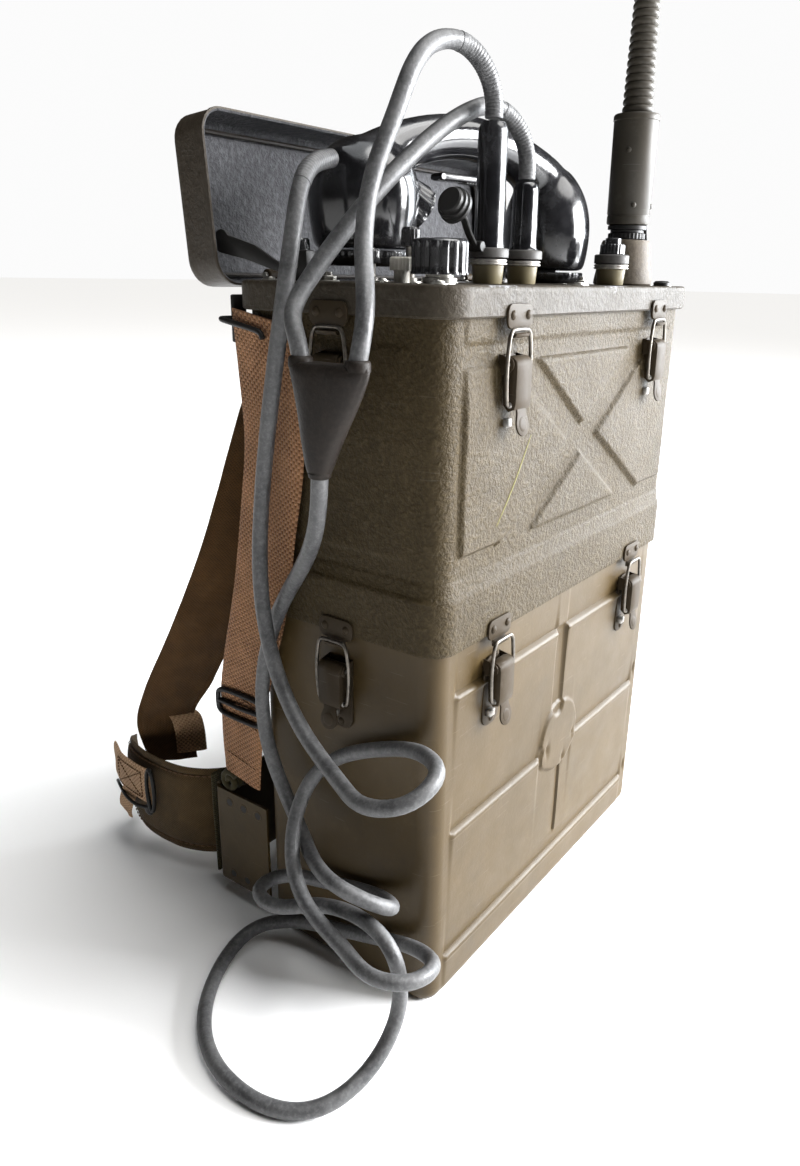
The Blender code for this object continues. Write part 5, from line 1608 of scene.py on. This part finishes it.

# steel tray: two punched wings, their holes dark discs of painted shade, and a back plate with a
# rolled top
tray = Build()
half, deep = CASE_W / 2, 0.0020
outline = [(-half, BACK + 0.001), (-half, FRAME_Y - 0.004)]
outline += [(-half + 0.004 - 0.004 * cos(radians(d)), FRAME_Y - 0.004 + 0.004 * sin(radians(d)))
            for d in (22, 45, 68, 90)]
outline += [(-x, y) for x, y in reversed(outline)]
inner = [(x * (half - deep) / half, y - (deep if y > 0.1 else 0.0)) for x, y in outline]
rows = [[(x, y, FRAME_Z[0]) for x, y in outline], [(x, y, FRAME_Z[1]) for x, y in outline],
        [(x, y, FRAME_Z[1]) for x, y in inner], [(x, y, FRAME_Z[0]) for x, y in inner]]
count = len(outline)
verts = [p for row in rows for p in row]
faces = [((r % 4) * count + i, (r % 4) * count + i + 1, ((r + 1) % 4) * count + i + 1,
          ((r + 1) % 4) * count + i) for r in range(4) for i in range(count - 1)]
faces += [tuple(r * count for r in range(4))[::-1], tuple(r * count + count - 1
                                                         for r in range(4))]
tray.faces(verts, faces, OLIVE)
for side in (-1, 1):
    for y in (0.078, 0.092, 0.106):
        for z in (0.0215, 0.0815):
            spot = at(side * half, y, z, turned(y=side * 90))
            # each punched hole: a thin near-black disc of painted shade on the wing, ringed by a
            # raised olive lip
            tray.lathe([(0.0026, -0.0005), (0.0026, 0.00012), (0.0001, 0.00014)], RECESS_SHADE, spot,
                       24)
            tray.lathe([(0.0027, 0.0), (0.0034, 0.00025), (0.0038, 0.0)], OLIVE, spot, 24)
tray.tube([(x, FRAME_Y - 0.001, FRAME_Z[1]) for x in (-0.150, 0.0, 0.150)], 0.0018, OLIVE, 12)
tray.done("harness_tray", slot="olive_paint", smooth=35, replaces=("harness_frame",))


def padded_strap(name, mat, rows, thick, replaces, seed, bulge=0.42):
    """Stuffed webbing: crowned across, pinched along two sewn channels near its edges."""
    count, across = 96, 27
    centres, halves, faces = spline_rows(rows, count)
    points = np.zeros((count, 2 * across, 3))
    uv = np.zeros((count, 2 * across, 2))
    run = 0.0
    for i in range(count):
        run += (centres[i] - centres[i - 1]).length if i else 0.0
        ends = min(1.0, 9.0 * min(i, count - 1 - i) / count + 0.35)
        for j in range(2 * across):
            upper = j < across
            c = -1 + 2 * (j if upper else 2 * across - 1 - j) / (across - 1)
            crown = (1 - abs(c) ** 3.2) ** 0.55 * (1 - bulge * c * c) * ends
            seam = 0.42 * exp(-((abs(c) - 0.84) / 0.035) ** 2)
            lift = thick / 2 * max(0.12, crown - seam)
            pucker = 0.0005 * noise.noise(Vector((c * 2.1 + seed, run * 55, seed)))
            waver = 0.0012 * noise.noise(Vector((c + seed, run * 14, 3.0 * seed)))
            drift = waver + (lift + pucker if upper else -lift - pucker)
            points[i, j] = centres[i] + halves[i] * c + faces[i] * drift
            uv[i, j] = (c * halves[i].length, run)
    mesh = grid_mesh(name, points, mat, caps=(True, True), uv=uv)
    made = settle(mesh, name, 'root', 50, replaces)
    return made


SEWING_STEPS = 60


def strap_side(rows, seam, lift):
    """A line along a strap, at a share of its half width and just off its face."""
    centres, halves, faces = spline_rows(rows, SEWING_STEPS)
    return [c + h * seam + f * lift for c, h, f in zip(centres, halves, faces)]


def across_strap(rows, share, reach, lift):
    """A line from edge to edge across a strap, at a share of its length."""
    centres, halves, faces = spline_rows(rows, SEWING_STEPS)
    i = int(share * (SEWING_STEPS - 1))
    return [centres[i] + halves[i] * c + faces[i] * lift for c in (-reach, 0.0, reach)]


for tag, side in (("left", 1), ("right", -1)):
    strap("tan_strap_" + tag, TAN, flip(SIDE_STRAP, side), 0.0024, 110, 17, 0.0006,
          seed=1.3 + side, replaces=("side_strap_" + tag,))
    padded_strap("shoulder_pad_" + tag, STRAP_CANVAS, flip(SHOULDER_STRAP, side), 0.0050,
                 ("shoulder_strap_" + tag,), 4.0 + side)
    padded_strap("waist_cushion_" + tag, CANVAS, flip(WAIST_PAD, side), 0.0092,
                 ("waist_pad_" + tag,), 7.0 + side, 0.30)
strap("belt_end", BELT_TAN, BELT, 0.0030, 50, 15, 0.0006, seed=2.2,
      replaces=("belt_webbing_left",))
for tag, side in (("left", 1), ("right", -1)):
    rows = flip(SIDE_STRAP, side)
    lines = [across_strap(rows, share, 0.80, 0.0015) for share in (0.80, 0.86, 0.96)]
    stitches("tan_strap_thread_" + tag, THREAD, lines)
    rows = flip(WAIST_PAD, side)
    stitches("waist_pad_thread_" + tag, THREAD,
             [strap_side(rows, seam, 0.0022) for seam in (-0.84, 0.84)], pitch=0.0046,
             slot="olive_canvas")


def box_stitch(rows, start, stop, reach, lift):
    """A sewn box with a cross in it, between two shares of a strap's length."""
    centres, halves, faces = spline_rows(rows, SEWING_STEPS)
    first, last = (int(share * (SEWING_STEPS - 1)) for share in (start, stop))

    def spot(i, c):
        return centres[i] + halves[i] * c + faces[i] * lift

    span = range(first, last + 1)
    sides = [[spot(i, c) for i in span] for c in (-reach, reach)]
    ends = [[spot(i, -reach), spot(i, 0.0), spot(i, reach)] for i in (first, last)]
    cross = [[spot(i, sign * reach * (2 * (i - first) / (last - first) - 1)) for i in span]
             for sign in (-1, 1)]
    return sides + ends + cross


stitches("belt_thread", THREAD, box_stitch(BELT, 0.16, 0.74, 0.72, 0.0018), pitch=0.0026)
for tag, side in (("left", 1), ("right", -1)):
    strap("keeper_tab_" + tag, BELT_TAN, flip(KEEPER, side), 0.0026, 60, 13, 0.0004,
          seed=5.1 + side)
    stitches("keeper_thread_" + tag, THREAD,
             box_stitch(flip(KEEPER, side), 0.04, 0.36, 0.70, 0.0016), pitch=0.0026)
    strap("tray_edge_strip_" + tag, DARK_WEB, flip(EDGE_STRIP, side), 0.0024, 60, 13, 0.0006,
          seed=9.4 + side)
    spare = Build()
    coil = [(side * -0.1390, 0.1085 + (0.0022 + 0.00042 * k) * cos(0.62 * k),
             0.0960 + (0.0022 + 0.00042 * k) * sin(0.62 * k)) for k in range(15)]
    for shift in (-0.0100, -0.0050, 0.0, 0.0050, 0.0100):
        spare.tube([(x + shift, y, z) for x, y, z in coil], 0.0026, DARK_WEB, 10)
    spare.done("rolled_webbing_" + tag, slot="olive_canvas", smooth=60)
strap("belt_tail", BELT_TAN, BELT_TAIL, 0.0022, 50, 13, 0.0008, seed=3.7)
frame_bits = Build()
ring = [(-0.1640, 0.1815 + 0.0042 * cos(radians(d)), 0.0670 + 0.0180 * sin(radians(d)))
        for d in range(0, 361, 12)]
frame_bits.tube(ring, 0.0015, BLACK_PAINT, 12)
frame_bits.tube(smooth_path(mm((-163.5, 186, 50), (-164.5, 200, 48), (-163.0, 214, 49),
                               (-157.5, 229, 50), (-152.0, 240, 48)), 40), 0.0013, BLACK_PAINT,
                12)
frame_bits.rivet(0.0046, 0.0014, BLACK_PAINT, at(-0.1590, 0.1930, 0.0430, turned(y=-90)), 24)
frame_bits.done("belt_buckle_wire", slot="black_paint", smooth=50)


# back pad: stuffed canvas, blown up by a cloth simulation and held inside its own space
PAD_SIZE = (0.262, 0.022, 0.170)
PAD_AT = Vector((0.0, BACK + CASE_GROW + BAND_GROW + 0.011, 0.320))
PAD_CAP = 0.0045
STUFFING_PRESSURE, STUFFING_FRAMES = 4.0, 20


def pad_blank():
    """Rounded slab that the stuffing swells: slimmer than the pad all round."""
    build = Build()
    build.box((PAD_SIZE[0] - 0.010, PAD_SIZE[1] - 0.009, PAD_SIZE[2] - 0.010), tuple(PAD_AT),
              CANVAS, 0.0062, segments=5)
    return remeshed(build, "back_pad_blank", 0.0048, 2)


def swell(mesh):
    """Cloth pressure on the blank; no point may move further than PAD_CAP."""
    blank = bpy.data.objects.new("back_pad_blank", mesh)
    bpy.context.scene.collection.objects.link(blank)
    step = blank.modifiers.new("stuffing", 'CLOTH')
    step.settings.use_pressure = True
    step.settings.uniform_pressure_force = STUFFING_PRESSURE
    step.settings.effector_weights.gravity = 0.0
    scene = bpy.context.scene
    scene.frame_start, scene.frame_end = 1, STUFFING_FRAMES
    for number in range(1, STUFFING_FRAMES + 1):
        scene.frame_set(number)
    graph = bpy.context.evaluated_depsgraph_get()
    swollen = bpy.data.meshes.new_from_object(blank.evaluated_get(graph), depsgraph=graph)
    for old, new in zip(mesh.vertices, swollen.vertices):
        move = new.co - old.co
        if move.length > PAD_CAP:
            new.co = old.co + move * (PAD_CAP / move.length)
    bpy.data.objects.remove(blank, do_unlink=True)
    scene.frame_set(1)
    return swollen


def quilt(mesh):
    """Sewn border and two channels, flat where the pad rests, kept in the pad's own box."""
    low = PAD_AT - Vector(PAD_SIZE) / 2
    high = PAD_AT + Vector(PAD_SIZE) / 2
    for v in mesh.vertices:
        across = abs(v.co.x - PAD_AT.x) / (PAD_SIZE[0] / 2)
        up = abs(v.co.z - PAD_AT.z) / (PAD_SIZE[2] / 2)
        if v.co.y > PAD_AT.y:
            border = exp(-((max(across, up) - 0.90) / 0.022) ** 2)
            channel = exp(-((across - 0.34) / 0.018) ** 2) if up < 0.90 else 0.0
            v.co.y -= 0.0034 * max(border, channel)
            v.co.y += 0.0007 * noise.noise(v.co * 42)
        v.co = [min(max(c, a + 0.0003), b - 0.0003) for c, a, b in zip(v.co, low, high)]


mesh = pad_blank()
mesh = swell(mesh)
back_pad = settle(mesh, "back_pad_cushion", 'root', 0, ("back_pad",))
finer = back_pad.modifiers.new("finer", 'SUBSURF')
finer.levels = finer.render_levels = 1
graph = bpy.context.evaluated_depsgraph_get()
finished = bpy.data.meshes.new_from_object(back_pad.evaluated_get(graph), depsgraph=graph)
back_pad.modifiers.clear()
back_pad.data = finished
quilt(finished)
finished.materials.clear()
finished.materials.append(CANVAS)
weave = finished.uv_layers.new(name="weave")
for loop in finished.loops:
    spot = finished.vertices[loop.vertex_index].co
    weave.data[loop.index].uv = (spot.x, spot.z + spot.y)
finished.shade_smooth()

for tag, side in (("left", 1), ("right", -1)):
    hook = Build()
    hook.box((0.0100, 0.0030, 0.0260), (side * -0.150, 0.0765, 0.4110), BLACK_PAINT, 0.0010)
    for z in (0.4030, 0.4190):
        hook.rivet(0.0022, 0.0012, BLACK_PAINT,
                   at(side * -0.150, 0.0780, z, turned(x=-90)))
    reach = [(-150, 77, 411), (-160, 78.5, 411), (-163, 75, 410.5), (-163, 60, 408),
             (-163, 48, 405.5), (-163, 45, 402)]
    hook.tube(smooth_path(mm(*[(side * x, y, z) for x, y, z in reach]), 40), 0.0016,
              BLACK_PAINT, 14)
    hook.done("strap_hook_look_" + tag, slot="black_paint", smooth=40,
              replaces=("strap_hook_" + tag,))
    frame_x = side * -0.1618
    buckle = Build()
    loop = []
    for k in range(33):
        a = 2 * pi * k / 32
        cy, cz = cos(a), sin(a)
        loop.append((frame_x, 0.080 + 0.0210 * abs(cy) ** 0.45 * (1 if cy > 0 else -1),
                     0.168 + 0.0092 * abs(cz) ** 0.45 * (1 if cz > 0 else -1)))
    buckle.tube(loop, 0.0017, BLACK_PAINT, 12)
    buckle.tube([(frame_x, 0.0585, 0.168), (frame_x - side * 0.0012, 0.080, 0.168),
                 (frame_x, 0.1015, 0.168)], 0.0016, BLACK_PAINT, 12)
    buckle.done("strap_buckle_look_" + tag, slot="black_paint", smooth=50,
                replaces=("strap_buckle_" + tag,))
# --- floor and end -------------------------------------------------------------------------
FLOOR_HALF, FLOOR_WHITE = 40, 0.95
floor = Build()
corners = [(x * FLOOR_HALF, y * FLOOR_HALF, 0) for x, y in ((-1, -1), (1, -1), (1, 1), (-1, 1))]
floor.faces(corners, [(0, 1, 2, 3)], Nodes("floor_white", (FLOOR_WHITE,) * 3, 0.9).mat)
floor = floor.done("floor", body=None)
